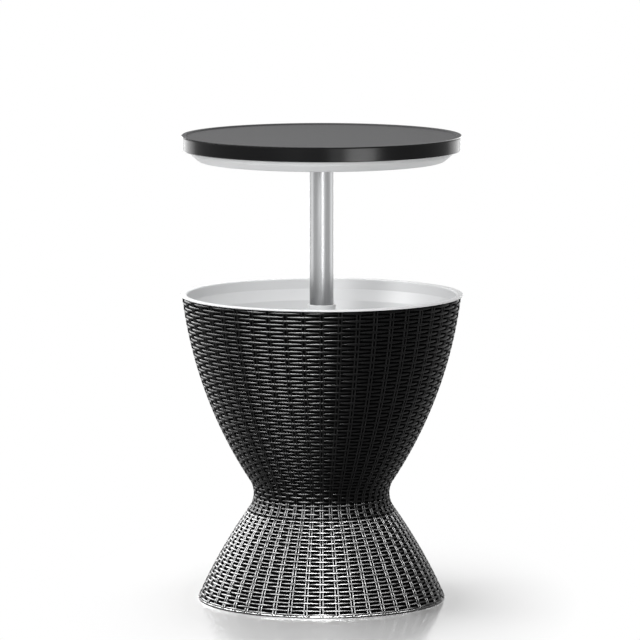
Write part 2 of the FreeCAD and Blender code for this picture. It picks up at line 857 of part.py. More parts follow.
def ring(name, inner, outer, bottom, top):
    """A plain turned ring."""
    corners = [(inner, bottom), (outer, bottom), (outer, top), (inner, top)]
    return turned(name, corners)[0]


def make_tube_nut():
    """Large nut with a scalloped rim, which pulls the tube's flange down."""
    bore = "outer_tube_radius + thread_fit"
    body = ring("tube_nut", bore, "nut_radius", "nut_bottom", "nut_top")
    sketch = add_sketch(body, "scallop_spot", "XY_Plane", "nut_top")
    disc(sketch, "nut_radius + nut_scallop_radius / 3", "0", "nut_scallop_radius")
    scallop = cut(body, "scallop", sketch, "nut_height")
    round_pattern(body, "scallops", [scallop], "nut_scallop_count")
    return body


def make_tube_end_cap():
    """Cup pushed over the tube's lower end, with holes that let drips out."""
    inside = "outer_tube_radius + thread_fit"
    floor = "outer_tube_bottom - cap_wall"
    corners = [
        ("0", floor),
        ("outer_tube_radius + cap_wall", floor),
        ("outer_tube_radius + cap_wall", f"{floor} + cap_height"),
        (inside, f"{floor} + cap_height"),
        (inside, "outer_tube_bottom"),
        ("0", "outer_tube_bottom"),
    ]
    body, _ = turned("tube_end_cap", corners)
    sketch = add_sketch(body, "drip_spot", "XY_Plane", "outer_tube_bottom")
    disc(sketch, "cap_drip_ring_radius", "0", "cap_drip_radius")
    drip = cut(body, "drip", sketch, "cap_wall")
    round_pattern(body, "drips", [drip], "cap_drip_count")
    return body


def make_guide_bush():
    """Collar on the tube's top with a long thin skirt inside, in which the inner tube slides."""
    corners = [
        ("bush_bore", "bush_bottom"),
        ("bush_radius", "bush_bottom"),
        ("bush_radius", "outer_tube_top"),
        ("outer_tube_radius", "outer_tube_top"),
        ("outer_tube_radius", "collar_top"),
        ("bush_bore", "collar_top"),
    ]
    body, _ = turned("guide_bush", corners)
    soften(body, "collar_edge", "Fillet", [("outer_tube_radius", "collar_top")], "collar_round")
    soften(body, "collar_mouth", "Chamfer", [("bush_bore", "collar_top")], "bush_chamfer")
    return body


def make_drain_fitting():
    """Flanged spigot that leads melt water from the liner's floor into the hollow base."""
    corners = [
        ("drain_bore_radius", "drain_bottom"),
        ("drain_tube_radius", "drain_bottom"),
        ("drain_tube_radius", "drain_flange_bottom"),
        ("drain_flange_radius", "drain_flange_bottom"),
        ("drain_flange_radius", "drain_flange_top"),
        ("drain_bore_radius", "drain_flange_top"),
    ]
    body, _ = turned("drain_fitting", corners)
    return at_drain(body)


def at_drain(body):
    """Move a body that was turned on the pole's axis to the drain's."""
    across, along = polar("drain_offset", "drain_angle")
    body.setExpression("Placement.Base.x", bound(across))
    body.setExpression("Placement.Base.y", bound(along))
    return body


def make_drain_gasket():
    fit = "drain_tube_radius + drain_hole_fit"
    top = "liner_floor_top + drain_gasket_thickness"
    return at_drain(ring("drain_gasket", fit, "drain_flange_radius", "liner_floor_top", top))


def make_drain_nut():
    """Six-sided nut on the drain's tail, below the deck."""
    body = add_body("drain_nut")
    sketch = add_sketch(body, "drain_nut_section", "XY_Plane", "spigot_deck_bottom")
    reach = "drain_nut_width / 2 / cos(30deg)"
    outline_of(sketch, [polar(reach, str(60 * side)) for side in range(6)])
    disc(sketch, "0", "0", "drain_tube_radius + thread_fit")
    pad(body, "drain_nut_block", sketch, "drain_nut_height", down=True)
    return at_drain(body)


def make_drain_stopper():
    """Stopper in the drain's bore, with a head and an upright tab to pull it by."""
    plug = "drain_bore_radius - running_fit"
    corners = [
        ("0", "stopper_head_bottom - stopper_length"),
        (plug, "stopper_head_bottom - stopper_length"),
        (plug, "stopper_head_bottom"),
        ("stopper_head_radius", "stopper_head_bottom"),
        ("stopper_head_radius", "stopper_head_top"),
        ("0", "stopper_head_top"),
    ]
    body, _ = turned("drain_stopper", corners)
    foot = [(plug, "stopper_head_bottom - stopper_length")]
    soften(body, "stopper_lead", "Chamfer", foot, "stopper_head / 4")
    sketch = add_sketch(body, "tab_section", "XZ_Plane")
    middle = "stopper_head_top + tab_height - tab_width / 2"
    add_tab(sketch, middle)
    disc(sketch, "0", middle, "tab_hole_radius")
    pad(body, "tab", sketch, "tab_thickness", midplane=True)
    return at_drain(body)


def add_tab(sketch, middle):
    """Outline of the pull tab: straight sides and a half-round top about the given height."""
    half = number("tab_width / 2")
    foot = number("stopper_head_top - stopper_head / 2")
    centre = number(middle)
    spots = [(-half, centre), (-half, foot), (half, foot), (half, centre)]
    lines = []
    for start, goal in zip(spots, spots[1:]):
        lines.append(sketch.addGeometry(Part.LineSegment(vector(*start), vector(*goal)), False))
    circle = Part.Circle(vector(0, centre), FreeCAD.Vector(0, 0, 1), half)
    top = sketch.addGeometry(Part.ArcOfCircle(circle, 0, math.pi), False)
    sketch.addConstraint(Sketcher.Constraint("Coincident", lines[0], 2, lines[1], 1))
    sketch.addConstraint(Sketcher.Constraint("Coincident", lines[1], 2, lines[2], 1))
    sketch.addConstraint(Sketcher.Constraint("Coincident", lines[2], 2, top, 1))
    sketch.addConstraint(Sketcher.Constraint("Coincident", top, 2, lines[0], 1))
    place_point(sketch, lines[1], 1, "-tab_width / 2", "stopper_head_top - stopper_head / 2")
    place_point(sketch, lines[1], 2, "tab_width / 2", "stopper_head_top - stopper_head / 2")
    place_point(sketch, lines[2], 2, "tab_width / 2", middle)
    place_point(sketch, lines[0], 1, "-tab_width / 2", middle)
    place_point(sketch, top, 3, None, middle)


def make_lock_sleeve():
    """Expander sleeve of the lock: grooved outside, slit, keyed, with a window for the stop's tooth."""
    corners = [
        ("sleeve_bore_radius", "sleeve_bottom"),
        ("sleeve_radius", "sleeve_bottom"),
        ("sleeve_radius", "sleeve_top"),
        ("sleeve_bore_radius", "sleeve_top"),
    ]
    body, _ = turned("lock_sleeve", corners)
    add_grip_grooves(body)
    add_keys(body)
    sketch = add_sketch(body, "slit_section", "XY_Plane", "sleeve_top")
    points = [
        ("0", "-sleeve_slit_width / 2"),
        ("outer_tube_radius", "-sleeve_slit_width / 2"),
        ("outer_tube_radius", "sleeve_slit_width / 2"),
        ("0", "sleeve_slit_width / 2"),
    ]
    turned_points(sketch, points, "key_angle + 180 + 90")
    cut(body, "slit", sketch, "sleeve_length")
    sketch = add_sketch(body, "window_section", "XY_Plane", "sleeve_top")
    margin = "tooth_angle / 2 + turn_gap"
    reach = "outer_tube_radius * 2"
    start = f"-({margin})"
    finish = f"turn_range + {margin}"
    middle = "turn_range / 2"
    points = [("0", "0"), polar(reach, start), polar(reach, middle), polar(reach, finish)]
    outline_of(sketch, points)
    cut(body, "window", sketch, "tooth_depth + end_play")
    return body


def add_grip_grooves(body):
    """Shallow rings cut in the sleeve's outside, evenly spaced."""
    sketch = add_sketch(body, "grip_section", "XZ_Plane")
    step = "sleeve_length / (sleeve_groove_count + 1)"
    low = f"sleeve_bottom + {step} - sleeve_groove_width / 2"
    points = [
        ("sleeve_radius - sleeve_groove_depth", low),
        ("outer_tube_radius", low),
        ("outer_tube_radius", f"{low} + sleeve_groove_width"),
        ("sleeve_radius - sleeve_groove_depth", f"{low} + sleeve_groove_width"),
    ]
    outline_of(sketch, points)
    groove = body.newObject("PartDesign::Groove", "grip_groove")
    groove.Profile = sketch
    groove.ReferenceAxis = (sketch, ["V_Axis"])
    groove.Angle = 360
    body.Tip = groove
    doc.recompute()
    row = body.newObject("PartDesign::LinearPattern", "grip_grooves")
    row.Originals = [groove]
    row.Direction = (origin_feature(body, "Z_Axis"), [""])
    row.setExpression("Length", bound(f"{step} * (sleeve_groove_count - 1)"))
    row.setExpression("Occurrences", bound("sleeve_groove_count"))
    body.Tip = row
    doc.recompute()


def add_keys(body):
    """Two keys that run in the outer tube's grooves, so that the sleeve slides but can't turn."""
    sketch = add_sketch(body, "key_section", "XY_Plane", "sleeve_bottom")
    points = [
        ("sleeve_radius - sleeve_groove_depth * 2", "-key_width / 2"),
        ("sleeve_radius + key_height", "-key_width / 2"),
        ("sleeve_radius + key_height", "key_width / 2"),
        ("sleeve_radius - sleeve_groove_depth * 2", "key_width / 2"),
    ]
    turned_points(sketch, points, "key_angle")
    key = pad(body, "key", sketch, "sleeve_length")
    round_pattern(body, "keys", [key], "2")


def make_inner_tube():
    """Silver tube that carries the tabletop, cross-drilled for its two pins."""
    body = ring("inner_tube", "inner_tube_bore", "inner_tube_radius", "inner_tube_bottom", "inner_tube_top")
    add_cross_hole(body, "tube_hub_hole", "hub_pin_height", "inner_tube_radius")
    add_cross_hole(body, "tube_plug_hole", "plug_pin_height", "inner_tube_radius")
    return body


def add_cross_hole(body, name, height, reach):
    """A hole right through a body along X, for a pin."""
    sketch = add_sketch(body, name + "_spot", "YZ_Plane")
    disc(sketch, "0", height, "pin_radius + pin_fit")
    return cut(body, name, sketch, f"2 * ({reach}) + 2", midplane=True)


def make_pin(name, height, reach):
    """A plain pin along X through the pole's axis."""
    pin = doc.addObject("Part::Cylinder", name)
    pin.Label = name
    pin.setExpression("Radius", bound("pin_radius"))
    pin.setExpression("Height", bound(f"2 * ({reach})"))
    pin.Placement.Rotation = FreeCAD.Rotation(FreeCAD.Vector(0, 1, 0), 90)
    pin.setExpression("Placement.Base.x", bound(f"-({reach})"))
    pin.setExpression("Placement.Base.z", bound(height))
    return pin


def make_cam_plug():
    """Plug in the tube's end: a flange, the stop's tooth and the two-lobed cam, drilled for a screw."""
    plug = "inner_tube_bore - plug_fit"
    corners = [
        ("cam_screw_radius", "cam_bottom"),
        ("cam_radius", "cam_bottom"),
        ("cam_radius", "plug_flange_bottom"),
        ("inner_tube_radius", "plug_flange_bottom"),
        ("inner_tube_radius", "inner_tube_bottom"),
        (plug, "inner_tube_bottom"),
        (plug, "inner_tube_bottom + plug_length"),
        ("cam_screw_radius", "inner_tube_bottom + plug_length"),
    ]
    body, _ = turned("cam_plug", corners)
    for side, name in (("1", "cam_flat_front"), ("-1", "cam_flat_back")):
        sketch = add_sketch(body, name + "_section", "XY_Plane", "plug_flange_bottom - tooth_depth")
        near = f"{side} * cam_flat_width / 2"
        far = f"{side} * inner_tube_radius"
        wide = "inner_tube_radius"
        outline_of(sketch, [(f"-{wide}", near), (wide, near), (wide, far), (f"-{wide}", far)])
        cut(body, name, sketch, "sleeve_length")
    sketch = add_sketch(body, "tooth_section", "XY_Plane", "plug_flange_bottom")
    points = [
        ("cam_radius - tooth_depth", "-tooth_width / 2"),
        ("inner_tube_radius - running_fit", "-tooth_width / 2"),
        ("inner_tube_radius - running_fit", "tooth_width / 2"),
        ("cam_radius - tooth_depth", "tooth_width / 2"),
    ]
    outline_of(sketch, points)
    pad(body, "tooth", sketch, "tooth_depth", down=True)
    add_cross_hole(body, "plug_cross_hole", "plug_pin_height", "inner_tube_radius")
    return body


def make_cam_screw():
    """Screw that holds the washer under the cam."""
    corners = [
        ("0", "cam_head_bottom + socket_depth"),
        ("socket_radius", "cam_head_bottom + socket_depth"),
        ("socket_radius", "cam_head_bottom"),
        ("cam_screw_head_radius", "cam_head_bottom"),
        ("cam_screw_head_radius", "cam_washer_bottom"),
        ("cam_screw_radius - screw_fit / 2", "cam_washer_bottom"),
        ("cam_screw_radius - screw_fit / 2", "cam_washer_bottom + cam_screw_length"),
        ("0", "cam_washer_bottom + cam_screw_length"),
    ]
    return turned("cam_screw", corners)[0]


def make_tabletop():
    """Round top in one moulding: raised lip, side band, ribs and screw bosses underneath."""
    corners = [
        ("0", "panel_bottom"),
        ("band_inner_radius", "panel_bottom"),
        ("band_inner_radius", "lid_underside"),
        ("table_radius", "lid_underside"),
        ("table_radius", "table_height"),
        ("table_radius - lip_width + lip_slope", "table_height"),
        ("table_radius - lip_width", "panel_top"),
        ("0", "panel_top"),
    ]
    body, _ = turned("tabletop", corners)
    soften(body, "table_edge", "Fillet", [("table_radius", "table_height")], "table_round")
    soften(body, "band_edge", "Fillet", [("table_radius", "lid_underside")], "lip_height / 2")
    sketch = add_sketch(body, "table_rib_section", "XY_Plane", "panel_bottom")
    half = "table_rib_thickness / 2"
    start = "hub_plate_radius"
    finish = "band_inner_radius + band_wall / 2"
    outline_of(sketch, [(start, f"-{half}"), (finish, f"-{half}"), (finish, half), (start, half)])
    rib = pad(body, "table_rib", sketch, "table_rib_height", down=True)
    round_pattern(body, "table_ribs", [rib], "table_rib_count")
    hub_spot = polar("hub_screw_ring_radius", "180 / hub_screw_count")
    dish_spot = polar("dish_screw_ring_radius", "180 / dish_screw_count")
    add_bosses(
        body, "hub_boss", hub_spot, "hub_screw_count", "hub_boss_radius",
        "hub_plate_top", "hub_screw_radius", "hub_screw_length - hub_plate_thickness + screw_tip_gap",
    )
    add_bosses(
        body, "dish_boss", dish_spot, "dish_screw_count", "dish_boss_radius",
        "dish_flange_top", "dish_screw_radius",
        "dish_screw_length + dish_screw_head - dish_wall + screw_tip_gap",
    )
    return body


def add_bosses(body, name, spot, count, radius, level, pilot_radius, pilot_depth):
    """Round bosses that hang from the panel down to a level, each with a blind pilot hole."""
    sketch = add_sketch(body, name + "_spot", "XY_Plane", level)
    disc(sketch, *spot, radius)
    boss = pad(body, name, sketch, f"panel_bottom + panel_thickness / 2 - ({level})")
    round_pattern(body, name + "es", [boss], count)
    sketch = add_sketch(body, name + "_pilot_spot", "XY_Plane", level)
    disc(sketch, *spot, pilot_radius)
    pilot = cut(body, name + "_pilot", sketch, pilot_depth, up=True)
    round_pattern(body, name + "_pilots", [pilot], count)


def make_lid_dish():
    """Light underside of the lid: a shallow dish, recessed in the middle so that it clears the collar."""
    side = "lid_underside - dish_side_height"
    corners = [
        ("inner_tube_radius + hub_gap", "recess_top"),
        ("dish_recess_radius", "recess_top"),
        ("dish_recess_radius", "dish_bottom"),
        ("dish_bottom_radius", "dish_bottom"),
        ("dish_radius", side),
        ("dish_radius", "lid_underside"),
        ("band_inner_radius - dish_fit", "lid_underside"),
        ("band_inner_radius - dish_fit", "dish_flange_top"),
        ("dish_radius - dish_wall", "dish_flange_top"),
        ("dish_radius - dish_wall", f"{side} + dish_wall / 2"),
        ("dish_bottom_radius - dish_wall / 2", "dish_bottom + dish_wall"),
        ("dish_recess_radius + dish_wall", "dish_bottom + dish_wall"),
        ("dish_recess_radius + dish_wall", "recess_top + dish_wall"),
        ("inner_tube_radius + hub_gap", "recess_top + dish_wall"),
    ]
    body, _ = turned("lid_dish", corners)
    soften(body, "dish_edge", "Fillet", [("dish_bottom_radius", "dish_bottom")], "dish_round")
    soften(body, "dish_shoulder", "Fillet", [("dish_radius", side)], "dish_side_height * 0.8")
    spot = polar("dish_screw_ring_radius", "180 / dish_screw_count")
    sketch = add_sketch(body, "dish_hole_spot", "XY_Plane", "dish_flange_top")
    disc(sketch, *spot, "dish_screw_radius + screw_fit")
    hole = cut(body, "dish_hole", sketch, "dish_wall")
    sketch = add_sketch(body, "dish_recess_spot", "XY_Plane", "lid_underside")
    disc(sketch, *spot, "dish_screw_head_radius + screw_fit")
    recess = cut(body, "dish_recess", sketch, "dish_screw_head", up=True)
    round_pattern(body, "dish_holes", [hole, recess], "dish_screw_count")
    return body


def make_lid_insulation():
    """Foam ring inside the lid, round the hub's gussets."""
    bottom = "dish_bottom + dish_wall + lid_foam_gap"
    inner = "hub_plate_radius + lid_foam_gap"
    corners = [
        (inner, bottom),
        ("lid_foam_radius - lid_foam_slope", bottom),
        ("lid_foam_radius", "lid_underside - dish_side_height + dish_wall"),
        ("lid_foam_radius", "panel_bottom - table_rib_height - lid_foam_gap"),
        (inner, "panel_bottom - table_rib_height - lid_foam_gap"),
    ]
    return turned("lid_insulation", corners)[0]


def make_top_hub():
    """Socket for the inner tube, a plate under the tabletop and gussets between the two."""
    socket = "inner_tube_radius + hub_socket_fit"
    corners = [
        (socket, "hub_bottom"),
        ("hub_radius", "hub_bottom"),
        ("hub_radius", "hub_plate_bottom"),
        ("hub_plate_radius", "hub_plate_bottom"),
        ("hub_plate_radius", "hub_plate_top"),
        ("hub_radius", "hub_plate_top"),
        ("hub_radius", "panel_bottom"),
        ("0", "panel_bottom"),
        ("0", "inner_tube_top"),
        (socket, "inner_tube_top"),
    ]
    body, _ = turned("top_hub", corners)
    sketch = add_sketch(body, "gusset_section", "XZ_Plane")
    inside = "hub_radius - hub_wall / 2"
    points = [
        (inside, "hub_bottom + hub_gap"),
        ("hub_radius", "hub_bottom + hub_gap"),
        ("hub_radius + gusset_reach", "hub_plate_bottom"),
        ("hub_radius + gusset_reach", "hub_plate_bottom + hub_plate_thickness / 2"),
        (inside, "hub_plate_bottom + hub_plate_thickness / 2"),
    ]
    outline_of(sketch, points)
    gusset = pad(body, "gusset", sketch, "gusset_thickness", midplane=True)
    round_pattern(body, "gussets", [gusset], "hub_screw_count")
    sketch = add_sketch(body, "hub_hole_spot", "XY_Plane", "hub_plate_top")
    disc(sketch, *polar("hub_screw_ring_radius", "180 / hub_screw_count"), "hub_screw_radius + screw_fit")
    hole = cut(body, "hub_hole", sketch, "hub_plate_thickness")
    round_pattern(body, "hub_holes", [hole], "hub_screw_count")
    add_cross_hole(body, "hub_cross_hole", "hub_pin_height", "hub_radius")
    return body


def make_hub_screws():
    return screw_group(
        "hub_screws",
        polar("hub_screw_ring_radius", "180 / hub_screw_count"),
        "hub_screw_count",
        "hub_plate_bottom - hub_screw_head",
        ("hub_screw_head_radius", "hub_screw_head"),
        ("hub_screw_radius", "hub_screw_length"),
    )


def make_dish_screws():
    """Screws let into the dish's flange from below."""
    return screw_group(
        "dish_screws",
        polar("dish_screw_ring_radius", "180 / dish_screw_count"),
        "dish_screw_count",
        "lid_underside",
        ("dish_screw_head_radius", "dish_screw_head"),
        ("dish_screw_radius", "dish_screw_length"),
    )


def make_all():
    """Every piece of the table, from the floor up."""
    return [
        make_base_shell(),
        make_bowl_shell(),
        make_liner(),
        make_insulation(),
        make_waist_screws(),
        make_outer_tube(),
        ring("floor_gasket", "tube_hole_radius", "flange_radius", "liner_floor_top", "flange_underside"),
        ring("nut_washer", "tube_hole_radius", "washer_radius", "nut_top", "spigot_deck_bottom"),
        make_tube_nut(),
        make_tube_end_cap(),
        make_guide_bush(),
        make_drain_fitting(),
        make_drain_gasket(),
        make_drain_nut(),
        make_drain_stopper(),
        make_lock_sleeve(),
        make_inner_tube(),
        make_cam_plug(),
        make_pin("plug_pin", "plug_pin_height", "inner_tube_radius - running_fit"),
        ring("cam_washer", "cam_screw_radius", "cam_washer_radius", "cam_washer_bottom", "cam_bottom"),
        make_cam_screw(),
        make_tabletop(),
        make_lid_dish(),
        make_lid_insulation(),
        make_top_hub(),
        make_hub_screws(),
        make_dish_screws(),
        make_pin("hub_pin", "hub_pin_height", "hub_radius"),
    ]


def check_all(pieces):
    """Stop if any object failed or any piece has no sound solid."""
    doc.recompute()
    for item in doc.Objects:
        if "Invalid" in item.State or "Error" in item.State:
            raise ValueError(f"{item.Label} failed: {item.State}")
    for piece in pieces:
        if piece.Shape.isNull() or not piece.Shape.isValid() or not piece.Shape.Solids:
            raise ValueError(f"{piece.Label} is not a sound solid")


def write_all(pieces):
    """One STEP file for each piece, named by its label."""
    os.makedirs(PARTS_FOLDER, exist_ok=True)
    for piece in pieces:
        piece.Shape.exportStep(os.path.join(PARTS_FOLDER, piece.Label + ".step"))
        print(piece.Label, len(piece.Shape.Solids), round(piece.Shape.Volume / 1000, 2))


pieces = make_all()
check_all(pieces)
write_all(pieces)
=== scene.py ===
"""Looks of the cooler table with lid: woven shells, finishes, studio and camera, all in metres."""
import math

import bpy
import numpy as np
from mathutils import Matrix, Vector


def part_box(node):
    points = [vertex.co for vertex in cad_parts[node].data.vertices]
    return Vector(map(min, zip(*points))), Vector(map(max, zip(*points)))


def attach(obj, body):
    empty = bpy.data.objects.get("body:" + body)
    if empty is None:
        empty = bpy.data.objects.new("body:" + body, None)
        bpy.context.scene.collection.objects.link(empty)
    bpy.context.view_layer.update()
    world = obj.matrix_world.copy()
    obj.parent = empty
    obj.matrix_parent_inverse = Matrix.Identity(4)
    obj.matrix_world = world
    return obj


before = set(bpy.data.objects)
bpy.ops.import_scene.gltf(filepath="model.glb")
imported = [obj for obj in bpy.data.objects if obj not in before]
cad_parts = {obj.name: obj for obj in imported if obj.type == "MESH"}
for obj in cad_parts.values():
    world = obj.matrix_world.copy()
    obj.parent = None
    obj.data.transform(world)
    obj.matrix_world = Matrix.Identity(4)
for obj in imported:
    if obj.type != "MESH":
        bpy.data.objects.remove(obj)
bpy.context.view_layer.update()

# Outline that the weave follows
FOOT_RADIUS = 0.2223          # outline of the weave where it would meet the floor
FOOT_TOP = 0.0045             # top of the plain foot ring
RIM_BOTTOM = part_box("bowl_shell")[1].z
SHELL_TOP_RADIUS = 0.2485     # outline of the weave under the rim
WAIST_RADIUS = 0.1215
WAIST_HEIGHT = 0.190
BOWL_ARC = 0.771
WAIST_ARC = 0.045
BASE_ARC = 0.925

# Strands and stakes
PAIRS = 48                    # pairs of stakes round the body
ROW_PITCH = 0.0070            # wanted height of one row of strands
WAIST_BAND = 4                # rows of the base's weave that lie on the waist's round
BASE_HALF_HEIGHT = 0.0019
BOWL_HALF_HEIGHT = 0.0021
STRAND_HALF_DEPTH = 0.0011
STRAND_DIP = 0.0020           # a strand lies this much deeper where it passes under a pair
STRAND_TAPER = 0.45           # and is lower there by this share
DIP_SHARPNESS = 2
STAKE_HALF_WIDTH = 0.00125
STAKE_HALF_DEPTH = 0.00095
STAKE_DIP = 0.0006            # a stake lies this much deeper where a strand passes over it
STAKE_GAP = 0.0025            # the two stakes of a pair stand this far apart on the axis,
STAKE_FAN = 0.0128            # and further by this share of the radius
STAKE_STEPS = 3               # stations of a stake in each row
RIM_GAP = 0.0008              # bare line between the rim and the first row
FOOT_LAP = 0.0010             # the lowest row's space laps over the foot ring

# Stations in degrees of a strand's wave, closer together at 0, where it passes under a pair.
STRAND_STATIONS = (
    0, 12, 25, 39, 56, 80, 115, 150, 180, 210, 245, 280, 304, 321, 335, 348
)
# Sections as shares of (half depth outwards, half height or width), counter-clockwise. A strand
# of the base has a flat front, one of the bowl slopes back above its middle.
BASE_SECTION = (
    (1, -0.78), (1, 0.7), (0.85, 0.84), (0.3, 0.97), (-0.25, 1),
    (-1, 0.65), (-1, -0.65), (0.2, -1), (0.85, -0.9),
)
BOWL_SECTION = (
    (1, -0.6), (1, 0.15), (0.88, 0.36), (0.2, 0.88), (-0.2, 1),
    (-1, 0.65), (-1, -0.65), (0.2, -1), (0.85, -0.8),
)
STAKE_SECTION = ((1, -0.5), (1, 0.5), (0.3, 1), (-1, 0.6), (-1, -0.6), (0.3, -1))

# Finishes
BUMP_DEPTH = 0.0002           # depth of the usual mould grain and strand lines
SHELL_GRAIN = {"Scale": 1200.0, "Mottle": 0.3, "Roughness": 0.6}
RING_EDGE = 0.0004            # the foot ring's gloss fades out over this height
PANEL_INSET = 0.002           # the tabletop's pebbled panel ends this far inside its edge,
PANEL_INSET_BLUR = 0.001
PANEL_DROP = 0.006            # and nothing lower than this below the lip's top is panel
PANEL_DROP_BLUR = 0.0005
PANEL_ROUGHNESS = 0.55

# Studio and camera
WHITE = (1.0, 1.0, 1.0, 1.0)
FLOOR_SIZE = 12.0
FLOOR_GREY = 0.8
FLOOR_ROUGHNESS = 0.12
FLOOR_LIFT = 0.02             # light that the floor adds to what the camera sees of it
FLOOR_OPENING_INSET = 0.0003  # its opening under the base ends this far inside the foot ring
FADE_START = 0.24             # to the sides, the floor begins to fade into the background here
FADE_END = 0.46               # and has faded here
FADE_SQUEEZE = 0.5            # lengths to front and back count by this share in the fade
WORLD_LIGHT = 0.38            # strength of the light from all round
SHEEN_AIM = 0.3               # height on the axis that the sheen lamps point at

CAMERA_DISTANCE = 9.637
CAMERA_HEIGHT = 1.678
CAMERA_TILT = math.radians(6.967)
CAMERA_CLIP = (0.1, 60.0)
FOCAL_PIXELS = 5454.7
PHOTO_SIDE = 640
PHOTO_AXIS = 321.6            # column of the photograph that the pole's axis falls on
SENSOR = 36.0


# Outline of the body
def arc_centre(edge, arc):
    """Centre of an arc that passes through the edge point and runs smoothly into the waist's arc.

    It lies at arc from the edge point and at arc plus the waist's arc from the waist's centre.
    """
    waist = np.array([WAIST_RADIUS + WAIST_ARC, WAIST_HEIGHT])
    across = np.array(edge) - waist
    apart = np.hypot(*across)
    reach = arc + WAIST_ARC
    along = (reach**2 - arc**2 + apart**2) / (2 * apart)
    aside = math.sqrt(reach**2 - along**2)
    side = 1 if across[1] > 0 else -1
    turned = np.array([-across[1], across[0]])
    return waist + (along * across + side * aside * turned) / apart


def outline_arcs():
    """The base's, the waist's and the bowl's arc: centre, radius, first angle, turn, length."""
    waist = np.array([WAIST_RADIUS + WAIST_ARC, WAIST_HEIGHT])
    foot = np.array([FOOT_RADIUS, 0.0])
    rim = np.array([SHELL_TOP_RADIUS, RIM_BOTTOM])
    base, bowl = arc_centre(foot, BASE_ARC), arc_centre(rim, BOWL_ARC)

    def angle(start, goal):
        return math.atan2(goal[1] - start[1], goal[0] - start[0])

    waist_start = angle(waist, base) % (2 * math.pi)
    waist_end = angle(waist, bowl) % (2 * math.pi)
    base_turn = angle(base, waist) - angle(base, foot)
    bowl_turn = angle(bowl, rim) - angle(bowl, waist)
    return [
        (base, BASE_ARC, angle(base, foot), 1, BASE_ARC * base_turn),
        (waist, WAIST_ARC, waist_start, -1, WAIST_ARC * (waist_start - waist_end)),
        (bowl, BOWL_ARC, angle(bowl, waist), 1, BOWL_ARC * bowl_turn),
    ]


ARCS = outline_arcs()
OUTLINE_LENGTH = sum(arc[4] for arc in ARCS)


def outline(way):
    """Point, outward normal and upward tangent of the outline at each distance along it.

    Each is (radius, height). Each arc is centre + size * (cos a, sin a), where a starts at the
    arc's first angle and turns by distance / size. The first arc also takes what lies before it.
    """
    way = np.asarray(way, float)
    point, normal, tangent = (np.zeros(way.shape + (2,)) for _ in range(3))
    start = 0.0
    for centre, size, first, turn, length in ARCS:
        here = (way >= start) if start else np.ones(way.shape, bool)
        angle = first + turn * (way - start) / size
        ray = np.stack([np.cos(angle), np.sin(angle)], -1)
        side = turn * np.stack([-np.sin(angle), np.cos(angle)], -1)
        point[here] = (centre + size * ray)[here]
        normal[here] = (turn * ray)[here]
        tangent[here] = side[here]
        start += length
    return point, normal, tangent


def foot_way():
    """Distance along the outline at which it leaves the foot ring."""
    centre, size, first = ARCS[0][:3]
    return size * (math.asin((FOOT_TOP - centre[1]) / size) - first)


WEAVE_START = foot_way() - FOOT_LAP
WEAVE_END = OUTLINE_LENGTH - RIM_GAP
ROWS = round((WEAVE_END - WEAVE_START) / ROW_PITCH)
PITCH = (WEAVE_END - WEAVE_START) / ROWS
WAIST_ROW = int((ARCS[0][4] + ARCS[1][4] / 2 - WEAVE_START) / PITCH)


# Meshes
def tube_mesh(name, points, along, closed, material):
    """Tubes from points (tube, station, ring, xyz), whose faces join neighbours round the ring.

    A closed tube joins its last station to its first, an open one gets a face over each end. The
    UV map holds the distance along the tube and the turn round it.
    """
    tubes, stations, ring = points.shape[:3]
    index = np.arange(tubes * stations * ring).reshape(tubes, stations, ring)
    spans = stations if closed else stations - 1
    low = index[:, :spans]
    high = np.roll(index, -1, 1)[:, :spans]
    quads = np.stack([low, high, np.roll(high, -1, 2), np.roll(low, -1, 2)], -1).reshape(-1, 4)
    corners = [quads.ravel()]
    sizes = [np.full(len(quads), 4)]
    near = np.broadcast_to(along[..., None], (tubes, stations, ring))
    far = np.roll(near, -1, 1)[:, :spans]
    if closed:    # the last span goes on by the step before it instead of back to the start
        far = np.concatenate([far[:, :-1], 2 * far[:, -2:-1] - far[:, -3:-2]], 1)
    near = near[:, :spans]
    turn = np.broadcast_to(np.arange(ring) / ring, low.shape)
    flat_u = np.stack([near, far, far, near], -1).ravel()
    flat_v = np.stack([turn, turn, turn + 1 / ring, turn + 1 / ring], -1).ravel()
    uv = [np.stack([flat_u, flat_v], -1)]
    if not closed:
        for end, order in ((0, slice(None)), (-1, slice(None, None, -1))):
            corners.append(index[:, end, order].ravel())
            sizes.append(np.full(tubes, ring))
            uv.append(np.zeros((tubes * ring, 2)))
    corners, sizes, uv = np.concatenate(corners), np.concatenate(sizes), np.concatenate(uv)
    starts = np.cumsum(sizes) - sizes
    mesh = bpy.data.meshes.new(name)
    mesh.vertices.add(points.size // 3)
    mesh.vertices.foreach_set("co", points.reshape(-1).astype(np.float32))
    mesh.loops.add(len(corners))
    mesh.loops.foreach_set("vertex_index", corners.astype(np.int32))
    mesh.polygons.add(len(sizes))
    mesh.polygons.foreach_set("loop_start", starts.astype(np.int32))
    mesh.polygons.foreach_set("use_smooth", np.ones(len(sizes), bool))
    mesh.update(calc_edges=True)
    mesh.uv_layers.new(name="along").data.foreach_set("uv", uv.astype(np.float32).ravel())
    mesh.materials.append(material)
    return new_piece(name, mesh)


def new_piece(name, data):
    """An object with the data, placed in the scene."""
    piece = bpy.data.objects.new(name, data)
    bpy.context.scene.collection.objects.link(piece)
    return piece


def round_axis(radius, height, angle):
    """Points in space from distance to the axis, height and angle about it."""
    radius, height, angle = np.broadcast_arrays(radius, height, angle)
    return np.stack([radius * np.cos(angle), radius * np.sin(angle), height], -1)


